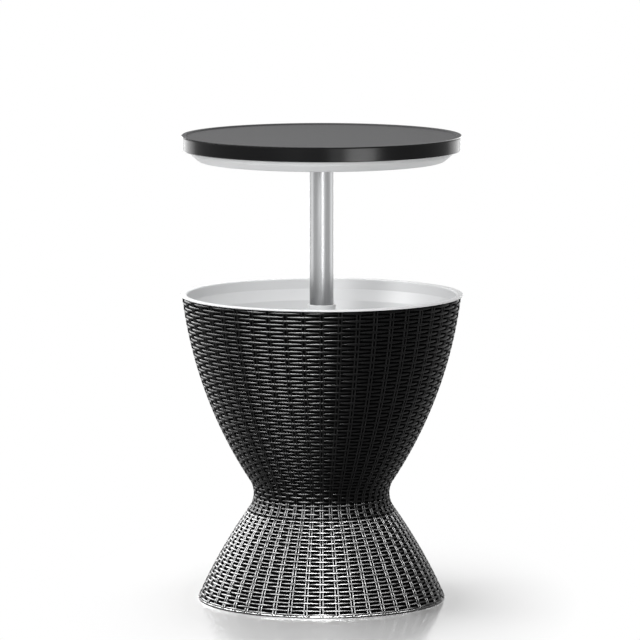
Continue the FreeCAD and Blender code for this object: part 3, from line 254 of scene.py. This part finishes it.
def woven_strands(name, first_row, last_row, half_height, section, material):
    """Rows of flat strands, each a closed ring that passes over one pair and under the next.

    With u = cos(pairs / 2 * angle + pi * row), which is 1 on the pair that is passed over and -1
    on the pair that is passed under, a strand's middle lies below the outline by half its depth
    + dip * ((1 - u) / 2) ** sharpness, and its height is multiplied by
    1 - taper * ((1 - u) / 2) ** 2. Its section lies on the outline's normal and tangent.
    """
    rows = np.arange(first_row, last_row)
    point, normal, tangent = outline(WEAVE_START + (rows + 0.5) * PITCH)
    phase = np.radians(np.array(STRAND_STATIONS)) + np.pi
    turns = np.arange(PAIRS // 2)
    angle = (phase[None, :] + 2 * np.pi * turns[:, None]).ravel() / (PAIRS / 2)
    angle = angle[None, :] - np.pi * rows[:, None] / (PAIRS / 2)
    under = (1 - np.cos(PAIRS / 2 * angle + np.pi * rows[:, None])) / 2
    depth = STRAND_HALF_DEPTH + STRAND_DIP * under**DIP_SHARPNESS
    section = np.array(section)
    out = STRAND_HALF_DEPTH * section[:, 0] - depth[..., None]
    up = half_height * (1 - STRAND_TAPER * under**2)[..., None] * section[:, 1]
    point, normal, tangent = (part[:, None, None] for part in (point, normal, tangent))
    spot = point + out[..., None] * normal + up[..., None] * tangent
    points = round_axis(spot[..., 0], spot[..., 1], angle[..., None])
    return tube_mesh(name, points, angle * point[:, 0, :, 0], True, material)


def woven_stakes(name, first_row, last_row, material):
    """Upright stakes in pairs, which weave in front of and behind the strands.

    With w = -cos(pi * (pair + row)), which is 1 where the strand is behind, a stake's middle lies
    below the outline by half its depth + dip * (1 - w) / 2. Each stake stands beside its pair's
    angle by half the pair's spacing. It runs from the lower edge of the first row to the upper
    edge of the last.
    """
    stations = int(round((last_row - first_row) * STAKE_STEPS)) + 1
    row = np.linspace(first_row - 0.5, last_row - 0.5, stations)
    way = WEAVE_START + (row + 0.5) * PITCH
    point, normal, _ = outline(way)
    pair = np.repeat(np.arange(PAIRS), 2)
    side = np.tile([-1.0, 1.0], PAIRS)
    spacing = STAKE_GAP + STAKE_FAN * point[:, 0]
    behind = (1 + np.cos(np.pi * (pair[:, None] + row[None, :]))) / 2
    depth = STAKE_HALF_DEPTH + STAKE_DIP * behind
    middle = 2 * np.pi * pair[:, None] / PAIRS + side[:, None] * spacing / (2 * point[:, 0])
    section = np.array(STAKE_SECTION)
    out = STAKE_HALF_DEPTH * section[:, 0] - depth[..., None]
    across = -STAKE_HALF_WIDTH * section[:, 1]
    spot = point[None, :, None] + out[..., None] * normal[None, :, None]
    angle = middle[..., None] + across / point[None, :, None, 0]
    points = round_axis(spot[..., 0], spot[..., 1], angle)
    return tube_mesh(name, points, np.broadcast_to(way, behind.shape), False, material)


# Shader nodes
def node(tree, kind, inputs=(), **settings):
    """A shader node with its settings, and its inputs by name or number.

    An input that is given as a socket is linked to it, and any other is set to the value.
    """
    made = tree.nodes.new("ShaderNode" + kind)
    for key, value in settings.items():
        setattr(made, key, value)
    for key, value in dict(inputs).items():
        if isinstance(value, bpy.types.NodeSocket):
            tree.links.new(value, made.inputs[key])
        else:
            made.inputs[key].default_value = value
    return made


def wire(tree, target, **sockets):
    """Links sockets to a node's inputs, whose names are given with _ for each space."""
    for label, socket in sockets.items():
        tree.links.new(socket, target.inputs[label.replace("_", " ")])


def maths(tree, operation, *inputs):
    """A number worked out from others."""
    return node(tree, "Math", enumerate(inputs), operation=operation).outputs[0]


def vectors(tree, operation, *inputs):
    """What comes out of a calculation with vectors: Vector or Value."""
    return node(tree, "VectorMath", enumerate(inputs), operation=operation).outputs


def ramp(tree, value, low, high, start=0.0, end=1.0):
    """A number that goes from start to end as the value goes from low to high."""
    limits = {"From Min": low, "From Max": high, "To Min": start, "To Max": end}
    return node(tree, "MapRange", {"Value": value, **limits}).outputs[0]


def blend(tree, share, first, second):
    """A colour between two."""
    colours = {"Factor": share, 6: first, 7: second}
    return node(tree, "Mix", colours, data_type="RGBA").outputs[2]


def noise(tree, place, scale, detail, roughness=0.5):
    """Fractal noise from 0 to 1."""
    inputs = {"Vector": place, "Scale": scale, "Detail": detail, "Roughness": roughness}
    return node(tree, "TexNoise", inputs).outputs["Fac"]


def stretched(tree, place, scales):
    """A place with each coordinate multiplied by its own scale."""
    return node(tree, "Mapping", {"Vector": place, "Scale": scales}).outputs[0]


def object_place(tree):
    """Place in the object's own space."""
    return node(tree, "TexCoord").outputs["Object"]


def height_and_ray(tree, place):
    """A place's height, and the level vector from the axis to it."""
    parts = node(tree, "SeparateXYZ", {0: place}).outputs
    return parts[2], node(tree, "CombineXYZ", {0: parts[0], 1: parts[1]}).outputs[0]


def add_bump(tree, shader, height, strength, distance, invert=False):
    """A height that is fed into the shader's normal."""
    inputs = {"Strength": strength, "Distance": distance, "Height": height}
    wire(tree, shader, Normal=node(tree, "Bump", inputs, invert=invert).outputs[0])


# Shared effects
def effect(name, inputs, outputs):
    """A shader node group with named inputs and outputs, its inputs' sockets and its end node."""
    group = bpy.data.node_groups.new(name, "ShaderNodeTree")
    for label, value in inputs.items():
        kind = "NodeSocketColor" if isinstance(value, tuple) else "NodeSocketFloat"
        socket = group.interface.new_socket(label, in_out="INPUT", socket_type=kind)
        socket.default_value = value
    for label in outputs:
        kind = "NodeSocketColor" if label == "Colour" else "NodeSocketFloat"
        group.interface.new_socket(label, in_out="OUTPUT", socket_type=kind)
    given = group.nodes.new("NodeGroupInput").outputs
    return group, given, group.nodes.new("NodeGroupOutput")


def swing_roughness(group, given, swing):
    """The given roughness, moved by the given spread times a swing of -0.5 to 0.5."""
    return maths(group, "MULTIPLY_ADD", swing, given["Spread"], given["Roughness"])


def moulded_grain():
    """Spark-eroded mould texture: fine noise as height, slow mottling of colour and roughness."""
    defaults = {
        "Scale": 900.0, "Colour": (0.02, 0.02, 0.02, 1.0),
        "Mottle": 0.1, "Roughness": 0.4, "Spread": 0.08,
    }
    group, given, result = effect("moulded_grain", defaults, ("Colour", "Roughness", "Height"))
    place = object_place(group)
    fine = noise(group, place, given["Scale"], detail=3.0, roughness=0.55)
    slow = noise(group, place, scale=7.0, detail=4.0, roughness=0.6)
    swing = maths(group, "SUBTRACT", slow, 0.5)
    shade = maths(group, "MULTIPLY_ADD", swing, given["Mottle"], 1.0)
    scaled = {0: given["Colour"], 3: shade}
    colour = node(group, "VectorMath", scaled, operation="SCALE").outputs[0]
    rough = swing_roughness(group, given, swing)
    wire(group, result, Colour=colour, Roughness=rough, Height=fine)
    return group


def strand_fibres():
    """Fine lines along a strand from its UV map, with a slow change of tone."""
    defaults = {
        "Dark": (0.01, 0.01, 0.01, 1.0), "Light": (0.04, 0.04, 0.04, 1.0),
        "Roughness": 0.35, "Spread": 0.15,
    }
    group, given, result = effect("strand_fibres", defaults, ("Colour", "Roughness", "Height"))
    path = stretched(group, node(group, "UVMap").outputs["UV"], (30.0, 26.0, 1.0))
    lines = noise(group, path, scale=1.0, detail=3.0, roughness=0.6)
    slow = noise(group, object_place(group), scale=30.0, detail=3.0)
    tone = ramp(group, maths(group, "MULTIPLY", lines, slow), 0.12, 0.4)
    colour = blend(group, tone, given["Dark"], given["Light"])
    rough = swing_roughness(group, given, maths(group, "SUBTRACT", lines, 0.5))
    wire(group, result, Colour=colour, Roughness=rough, Height=lines)
    return group


def drawn_lines():
    """Lines that run up a drawn tube: noise stretched along the axis, as height and roughness."""
    defaults = {"Roughness": 0.3, "Spread": 0.15}
    group, given, result = effect("drawn_lines", defaults, ("Roughness", "Height"))
    path = stretched(group, object_place(group), (900.0, 900.0, 9.0))
    lines = noise(group, path, scale=1.0, detail=2.0)
    rough = swing_roughness(group, given, maths(group, "SUBTRACT", lines, 0.5))
    wire(group, result, Roughness=rough, Height=lines)
    return group


EFFECTS = {
    "moulded_grain": moulded_grain(),
    "strand_fibres": strand_fibres(),
    "drawn_lines": drawn_lines(),
}


# Materials
def new_finish(name, **constants):
    """A material with one Principled shader, whose constants are set on its own sockets."""
    material = bpy.data.materials.new(name)
    material.use_nodes = True
    shader = material.node_tree.nodes["Principled BSDF"]
    for label, value in constants.items():
        shader.inputs[label.replace("_", " ")].default_value = value
    return material, material.node_tree, shader


def use_effect(tree, effect_name, **values):
    """The outputs of an effect's group that is placed in a material with its own values."""
    placed = tree.nodes.new("ShaderNodeGroup")
    placed.node_tree = EFFECTS[effect_name]
    for label, value in values.items():
        placed.inputs[label].default_value = value
    return placed.outputs


def feed(tree, shader, source, strength, distance=BUMP_DEPTH):
    """Colour, roughness and height of an effect wired into the shader."""
    wire(tree, shader, Base_Color=source["Colour"], Roughness=source["Roughness"])
    add_bump(tree, shader, source["Height"], strength, distance)


def moulded(name, colour, roughness, mottle, strength):
    """Moulded plastic or rubber in one colour with its mould's grain."""
    material, tree, shader = new_finish(name)
    grain = use_effect(
        tree, "moulded_grain",
        Scale=900.0, Colour=(*colour, 1.0), Mottle=mottle, Roughness=roughness, Spread=0.1,
    )
    feed(tree, shader, grain, strength)
    return material


def woven_plastic(name, dark, light, roughness, gloss):
    """Glossy black strand with fine lines along it."""
    material, tree, shader = new_finish(name, Specular_IOR_Level=gloss)
    fibres = use_effect(
        tree, "strand_fibres",
        Dark=(*dark, 1.0), Light=(*light, 1.0), Roughness=roughness, Spread=0.08,
    )
    feed(tree, shader, fibres, 0.06)
    return material


def shell_black():
    """Black moulded shell: dull between the strands, glossier on the foot ring and the inside.

    What faces the axis is the inside, in the plastic's own black. The outside is far darker,
    painted shade for the gaps between the strands, so the inside shows greyer.
    """
    material, tree, shader = new_finish("shell_black", Specular_IOR_Level=0.0, Coat_Roughness=0.25)
    height, ray = height_and_ray(tree, object_place(tree))
    outwards = vectors(tree, "NORMALIZE", ray)["Vector"]
    normal = node(tree, "NewGeometry").outputs["Normal"]
    facing = vectors(tree, "DOT_PRODUCT", normal, outwards)["Value"]
    inside = ramp(tree, facing, 0.1, 0.0)
    # Painted shade: the outside's near-zero colour stands for the shade in the gaps between the
    # strands; the inside keeps the plastic's own black.
    outer = use_effect(
        tree, "moulded_grain", Colour=(0.0016, 0.0016, 0.0017, 1.0), **SHELL_GRAIN
    )
    inner = use_effect(tree, "moulded_grain", Colour=(0.03, 0.03, 0.031, 1.0), **SHELL_GRAIN)
    feed(tree, shader, outer, 0.3)
    ring = ramp(tree, height, FOOT_TOP + RING_EDGE, FOOT_TOP, 0.0, 0.7)
    colour = blend(tree, inside, outer["Colour"], inner["Colour"])
    wire(tree, shader, Base_Color=colour, Coat_Weight=maths(tree, "MAXIMUM", ring, inside))
    return material


def silver_tube():
    """Satin anodised aluminium with drawn lines."""
    material, tree, shader = new_finish("silver_tube", Metallic=1.0)
    lines = use_effect(tree, "drawn_lines", Roughness=0.3, Spread=0.16)
    tone = blend(tree, lines["Height"], (0.28, 0.284, 0.288, 1.0), (0.38, 0.384, 0.388, 1.0))
    wire(tree, shader, Base_Color=tone, Roughness=lines["Roughness"])
    add_bump(tree, shader, lines["Height"], 0.2, 0.0001)
    return material


def table_plastic():
    """Black tabletop: pebbled panel inside the lip, smoother lip and band, glossy at a slant."""
    material, tree, shader = new_finish(
        "table_plastic", Specular_IOR_Level=0.08, Coat_Roughness=0.12
    )
    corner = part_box("tabletop")[1]
    panel_radius, panel_height = corner.x - PANEL_INSET, corner.z - PANEL_DROP
    place = object_place(tree)
    height, ray = height_and_ray(tree, place)
    radius = vectors(tree, "LENGTH", ray)["Value"]
    inside = ramp(tree, radius, panel_radius, panel_radius - PANEL_INSET_BLUR)
    above = ramp(tree, height, panel_height, panel_height + PANEL_DROP_BLUR)
    panel = maths(tree, "MULTIPLY", inside, above)
    grain = use_effect(
        tree, "moulded_grain",
        Scale=700.0, Colour=(0.005, 0.005, 0.0053, 1.0), Mottle=0.15, Roughness=0.24, Spread=0.1,
    )
    pebbles = {"Vector": place, "Scale": 1100.0}
    pebbles = node(tree, "TexVoronoi", pebbles, feature="SMOOTH_F1").outputs["Distance"]
    joints = ramp(tree, pebbles, 0.1, 0.6)
    pebble_colour = blend(tree, joints, (0.045, 0.045, 0.0465, 1.0), (0.028, 0.028, 0.029, 1.0))
    roughnesses = {"Factor": panel, 2: grain["Roughness"], 3: PANEL_ROUGHNESS}
    slant = node(tree, "LayerWeight", {"Blend": 0.5}).outputs["Facing"]
    edge = ramp(tree, slant, 0.55, 0.85)
    wire(
        tree, shader,
        Base_Color=blend(tree, panel, grain["Colour"], pebble_colour),
        Roughness=node(tree, "Mix", roughnesses, data_type="FLOAT").outputs[0],
        Coat_Weight=maths(tree, "MULTIPLY", edge, maths(tree, "SUBTRACT", 1.0, panel)),
    )
    add_bump(tree, shader, maths(tree, "MULTIPLY", joints, panel), 0.5, 0.0003, invert=True)
    return material


def white_foam():
    """Rigid foam: beads with darker joints between them."""
    material, tree, shader = new_finish("white_foam", Roughness=0.85)
    beads = {"Vector": object_place(tree), "Scale": 260.0}
    beads = node(tree, "TexVoronoi", beads, feature="DISTANCE_TO_EDGE").outputs["Distance"]
    bead = ramp(tree, beads, 0.0, 0.12)
    tint = blend(tree, bead, (0.64, 0.64, 0.624, 1.0), (0.8, 0.8, 0.78, 1.0))
    wire(tree, shader, Base_Color=tint)
    add_bump(tree, shader, bead, 0.5, 0.0005)
    return material


def screw_steel():
    """Zinc-plated steel with a slight cloudiness."""
    material, tree, shader = new_finish("screw_steel", Metallic=1.0)
    grain = use_effect(
        tree, "moulded_grain",
        Scale=1500.0, Colour=(0.55, 0.56, 0.58, 1.0), Mottle=0.3, Roughness=0.3, Spread=0.3,
    )
    feed(tree, shader, grain, 0.1, 0.0001)
    return material


# Colour, roughness, mottle and bump strength of each moulded plastic and rubber
PLASTICS = {
    "liner_white": ((0.74, 0.745, 0.75), 0.36, 0.03, 0.12),
    "tube_white": ((0.76, 0.765, 0.77), 0.3, 0.03, 0.1),
    "dish_grey": ((0.61, 0.615, 0.62), 0.38, 0.03, 0.15),
    "black_plastic": ((0.02, 0.02, 0.021), 0.4, 0.2, 0.3),
    "grey_nylon": ((0.3, 0.305, 0.31), 0.45, 0.1, 0.2),
    "seal_rubber": ((0.05, 0.05, 0.052), 0.62, 0.25, 0.4),
}
# Darkest colour, lightest colour, roughness and gloss of each woven plastic
WOVEN_PLASTICS = {
    "woven_strand": ((0.002, 0.002, 0.0021), (0.006, 0.006, 0.0063), 0.29, 0.07),
    "base_stake": ((0.002, 0.002, 0.0021), (0.008, 0.008, 0.0083), 0.34, 0.07),
    # The bowl's stakes are lighter than the same plastic on the base: painted sheen for the glints
    # on their edges.
    "bowl_stake_painted_sheen": ((0.007, 0.007, 0.0072), (0.014, 0.014, 0.0143), 0.34, 0.09),
}
FINISHES = {
    "shell_black": shell_black(),
    "white_foam": white_foam(),
    "screw_steel": screw_steel(),
    "silver_tube": silver_tube(),
    "table_plastic": table_plastic(),
    **{name: moulded(name, *values) for name, values in PLASTICS.items()},
    **{name: woven_plastic(name, *values) for name, values in WOVEN_PLASTICS.items()},
}

NODE_FINISH = {
    "base_shell": "shell_black",
    "bowl_shell": "shell_black",
    "liner": "liner_white",
    "insulation": "white_foam",
    "waist_screws": "screw_steel",
    "outer_tube": "tube_white",
    "floor_gasket": "seal_rubber",
    "nut_washer": "grey_nylon",
    "tube_nut": "black_plastic",
    "tube_end_cap": "black_plastic",
    "guide_bush": "tube_white",
    "drain_fitting": "grey_nylon",
    "drain_gasket": "seal_rubber",
    "drain_nut": "grey_nylon",
    "drain_stopper": "seal_rubber",
    "lock_sleeve": "grey_nylon",
    "inner_tube": "silver_tube",
    "cam_plug": "black_plastic",
    "plug_pin": "screw_steel",
    "cam_washer": "screw_steel",
    "cam_screw": "screw_steel",
    "tabletop": "table_plastic",
    "lid_dish": "dish_grey",
    "lid_insulation": "white_foam",
    "top_hub": "black_plastic",
    "hub_screws": "screw_steel",
    "dish_screws": "screw_steel",
    "hub_pin": "screw_steel",
}


def dress_nodes():
    """Each CAD node gets its finish in every material slot."""
    for name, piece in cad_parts.items():
        for slot in piece.material_slots:
            slot.material = FINISHES[NODE_FINISH[name]]


def make_weave():
    """Strands and stakes of the base, the waist and the bowl, which ride on the cooler's body."""
    band = WAIST_ROW - WAIST_BAND
    middle, upper = (2 * WAIST_ROW + ROWS) // 3, (WAIST_ROW + 2 * ROWS) // 3
    base = BASE_HALF_HEIGHT, BASE_SECTION, FINISHES["woven_strand"]
    bowl = BOWL_HALF_HEIGHT, BOWL_SECTION, FINISHES["woven_strand"]
    pieces = [
        woven_strands("base_strands", 0, band, *base),
        woven_strands("waist_strands", band, WAIST_ROW, *base),
        woven_strands("bowl_strands_lower", WAIST_ROW, middle, *bowl),
        woven_strands("bowl_strands_middle", middle, upper, *bowl),
        woven_strands("bowl_strands_upper", upper, ROWS, *bowl),
        woven_stakes("base_stakes", 0, band, FINISHES["base_stake"]),
        woven_stakes("waist_stakes", band, WAIST_ROW, FINISHES["base_stake"]),
        # The bowl's stakes take the lighter finish, painted sheen for the glints on their edges.
        woven_stakes("bowl_stakes", WAIST_ROW, ROWS, FINISHES["bowl_stake_painted_sheen"]),
    ]
    for piece in pieces:
        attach(piece, "cooler_body")
    return pieces


# Floor and world
def backdrop_share(tree):
    """1 on the rays that see the background as white, else 0.

    Those are rays from the camera, reflections and refractions.
    """
    path = node(tree, "LightPath").outputs
    first = maths(tree, "MAXIMUM", path["Is Camera Ray"], path["Is Glossy Ray"])
    return maths(tree, "MAXIMUM", first, path["Is Transmission Ray"])


def floor_white():
    """Pale floor that shows the object's shadow and fades into the white background round it.

    It is clear from below and under the hollow base, so that light reaches the underside.
    """
    material = bpy.data.materials.new("floor_white")
    material.use_nodes = True
    tree = material.node_tree
    shader = tree.nodes["Principled BSDF"]
    shader.inputs["Base Color"].default_value = (FLOOR_GREY, FLOOR_GREY, FLOOR_GREY, 1.0)
    shader.inputs["Roughness"].default_value = FLOOR_ROUGHNESS
    place = object_place(tree)
    seen = backdrop_share(tree)
    oval = vectors(tree, "MULTIPLY", place, (1.0, FADE_SQUEEZE, 1.0))["Vector"]
    fade = ramp(tree, vectors(tree, "LENGTH", oval)["Value"], FADE_START, FADE_END)
    lift = maths(tree, "MULTIPLY", seen, FLOOR_LIFT)
    glow = node(tree, "Emission", {"Color": WHITE, "Strength": lift}).outputs[0]
    near = node(tree, "AddShader", {0: shader.outputs[0], 1: glow}).outputs[0]
    white = node(tree, "Emission", {"Color": WHITE, "Strength": 1.0}).outputs[0]
    far = maths(tree, "MULTIPLY", seen, fade)
    top = node(tree, "MixShader", {0: far, 1: near, 2: white}).outputs[0]
    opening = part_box("base_shell")[1].x - FLOOR_OPENING_INSET
    covered = maths(tree, "LESS_THAN", vectors(tree, "LENGTH", place)["Value"], opening)
    under = node(tree, "NewGeometry").outputs["Backfacing"]
    gone = maths(tree, "MAXIMUM", under, covered)
    clear = node(tree, "BsdfTransparent").outputs[0]
    both = node(tree, "MixShader", {0: gone, 1: top, 2: clear}).outputs[0]
    wire(tree, tree.nodes["Material Output"], Surface=both)
    return material


def make_floor():
    """One square of the pale floor."""
    half = FLOOR_SIZE / 2
    corners = [(-half, -half, 0.0), (half, -half, 0.0), (half, half, 0.0), (-half, half, 0.0)]
    mesh = bpy.data.meshes.new("floor")
    mesh.from_pydata(corners, [], [(0, 1, 2, 3)])
    mesh.materials.append(floor_white())
    new_piece("floor", mesh)


def make_world():
    """Soft white light from all round, and a white background behind the object."""
    world = bpy.data.worlds.new("studio")
    world.use_nodes = True
    bpy.context.scene.world = world
    tree = world.node_tree
    light = tree.nodes["Background"]
    light.inputs["Color"].default_value = WHITE
    wire(tree, light, Strength=ramp(tree, backdrop_share(tree), 0.0, 1.0, WORLD_LIGHT, 1.0))


# Lamps and camera
def softbox(name, place, aim, width, height, power, lit=None, diffuse=True):
    """An area lamp that the camera doesn't see, turned towards the axis at the aim's height.

    One with a lit collection lights that collection's pieces alone, and without diffuse it only
    shows in their gloss.
    """
    lamp = bpy.data.lights.new(name, "AREA")
    lamp.shape = "RECTANGLE"
    lamp.size, lamp.size_y, lamp.energy = width, height, power
    holder = new_piece(name, lamp)
    holder.location = place
    way = holder.location - Vector((0.0, 0.0, aim))
    holder.rotation_euler = way.to_track_quat("Z", "Y").to_euler()
    holder.visible_camera = False
    holder.visible_diffuse = diffuse
    if lit:
        holder.light_linking.receiver_collection = lit


def lit_pieces(name, pieces):
    """A collection of pieces for lamps that light them alone."""
    lit = bpy.data.collections.new(name)
    for piece in pieces:
        lit.objects.link(piece)
    return lit


def sheen_lamps(lit, height, rows):
    """Lamps that only show in the gloss of the lit pieces: rows of name, place, width, power."""
    for name, place, width, power in rows:
        softbox(name, place, SHEEN_AIM, width, height, power, lit, False)


def make_lamps(weave):
    """The studio's softboxes and strips, and the sheen of the weave, pole, band and foot ring."""
    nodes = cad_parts
    body = lit_pieces("body_light", nodes.values())
    softbox("key_softbox", (-0.4, 0.2, 2.6), 0.2, 1.7, 1.7, 56)
    softbox("left_softbox", (-2.4, 0.1, 2.4), 0.2, 0.8, 0.8, 21)
    softbox("front_softbox", (-1.0, -2.6, 1.5), 0.4, 1.0, 1.0, 44, body)
    softbox("front_strip", (0.42, -2.4, 0.5), 0.6, 0.18, 1.0, 5.2)
    softbox("back_left_strip", (-1.0, 2.6, 1.0), 0.6, 0.4, 1.8, 8)
    softbox("back_right_strip", (1.0, 2.6, 1.0), 0.6, 0.4, 1.8, 5)

    def woven(*starts):
        return [piece for piece in weave if piece.name.startswith(starts)]

    bowl = lit_pieces("bowl_sheen", woven("bowl_strands", "waist"))
    sheen_lamps(bowl, 1.5, [
        ("bowl_back_left", (-2.3, 2.2, 1.1), 1.6, 85),
        ("bowl_left", (-2.9, 0.65, 1.7), 1.6, 230),
        ("bowl_front_left", (-2.1, -1.5, 2.4), 1.6, 1000),
        ("bowl_front", (-0.7, -2.15, 2.75), 1.2, 1150),
    ])
    sheen_lamps(bowl, 0.5, [("bowl_low", (-1.5, -2.1, 0.45), 1.8, 260)])
    sheen_lamps(lit_pieces("waist_sheen", woven("waist")), 1.0, [
        ("waist_left", (-2.9, 0.65, 1.5), 1.6, 400),
        ("waist_front_left", (-2.15, -1.55, 1.75), 1.6, 450),
        ("waist_front", (0.0, -2.5, 1.8), 2.0, 800),
        ("waist_right", (1.8, -1.8, 1.7), 1.6, 250),
    ])
    sheen_lamps(lit_pieces("base_sheen", [nodes["base_shell"]] + woven("base")), 1.0, [
        ("base_back_left", (-2.3, 2.2, 1.0), 1.6, 230),
        ("base_left", (-2.9, 0.65, 1.5), 1.6, 800),
        ("base_front_left", (-2.15, -1.55, 1.75), 1.6, 1600),
        ("base_front", (0.0, -2.5, 1.75), 2.0, 3800),
        ("base_right", (1.8, -1.8, 1.7), 1.6, 800),
        ("base_far_right", (2.7, -0.3, 1.4), 1.4, 300),
    ])
    sheen_lamps(lit_pieces("pole_sheen", [nodes["inner_tube"]]), 0.9, [
        ("pole_front", (0.58, -2.33, 0.4), 1.3, 5.2),
        ("pole_left", (-2.3, 0.6, 0.4), 1.6, 5.5),
        ("pole_right", (2.25, 0.8, 0.4), 1.6, 5.5),
    ])
    sheen_lamps(lit_pieces("band_sheen", [nodes["tabletop"]]), 0.5, [
        ("band_front", (1.22, -2.06, 0.45), 1.0, 50),
        ("band_back_left", (-1.7, 1.7, 0.4), 1.2, 3.5),
        ("band_back_right", (1.7, 1.7, 0.4), 1.2, 2.5),
    ])
    ring = lit_pieces("ring_sheen", [nodes["base_shell"]])
    softbox("ring_low", (-0.6, -2.5, 0.3), 0.05, 3.0, 0.6, 300, ring, False)


def make_camera():
    """The photograph's view: far away, a little above and tilted down."""
    camera = bpy.data.cameras.new("photo_camera")
    camera.sensor_width = SENSOR
    camera.lens = FOCAL_PIXELS / PHOTO_SIDE * SENSOR
    camera.clip_start, camera.clip_end = CAMERA_CLIP
    holder = new_piece("photo_camera", camera)
    aside = (PHOTO_SIDE / 2 - PHOTO_AXIS) / FOCAL_PIXELS * CAMERA_DISTANCE
    holder.location = (aside, -CAMERA_DISTANCE, CAMERA_HEIGHT)
    holder.rotation_euler = (math.pi / 2 - CAMERA_TILT, 0.0, 0.0)
    bpy.context.scene.camera = holder


def main():
    """Builds the looks round the frame."""
    dress_nodes()
    weave = make_weave()
    make_floor()
    make_world()
    make_lamps(weave)
    make_camera()
    bpy.context.scene.view_settings.view_transform = "Standard"


main()
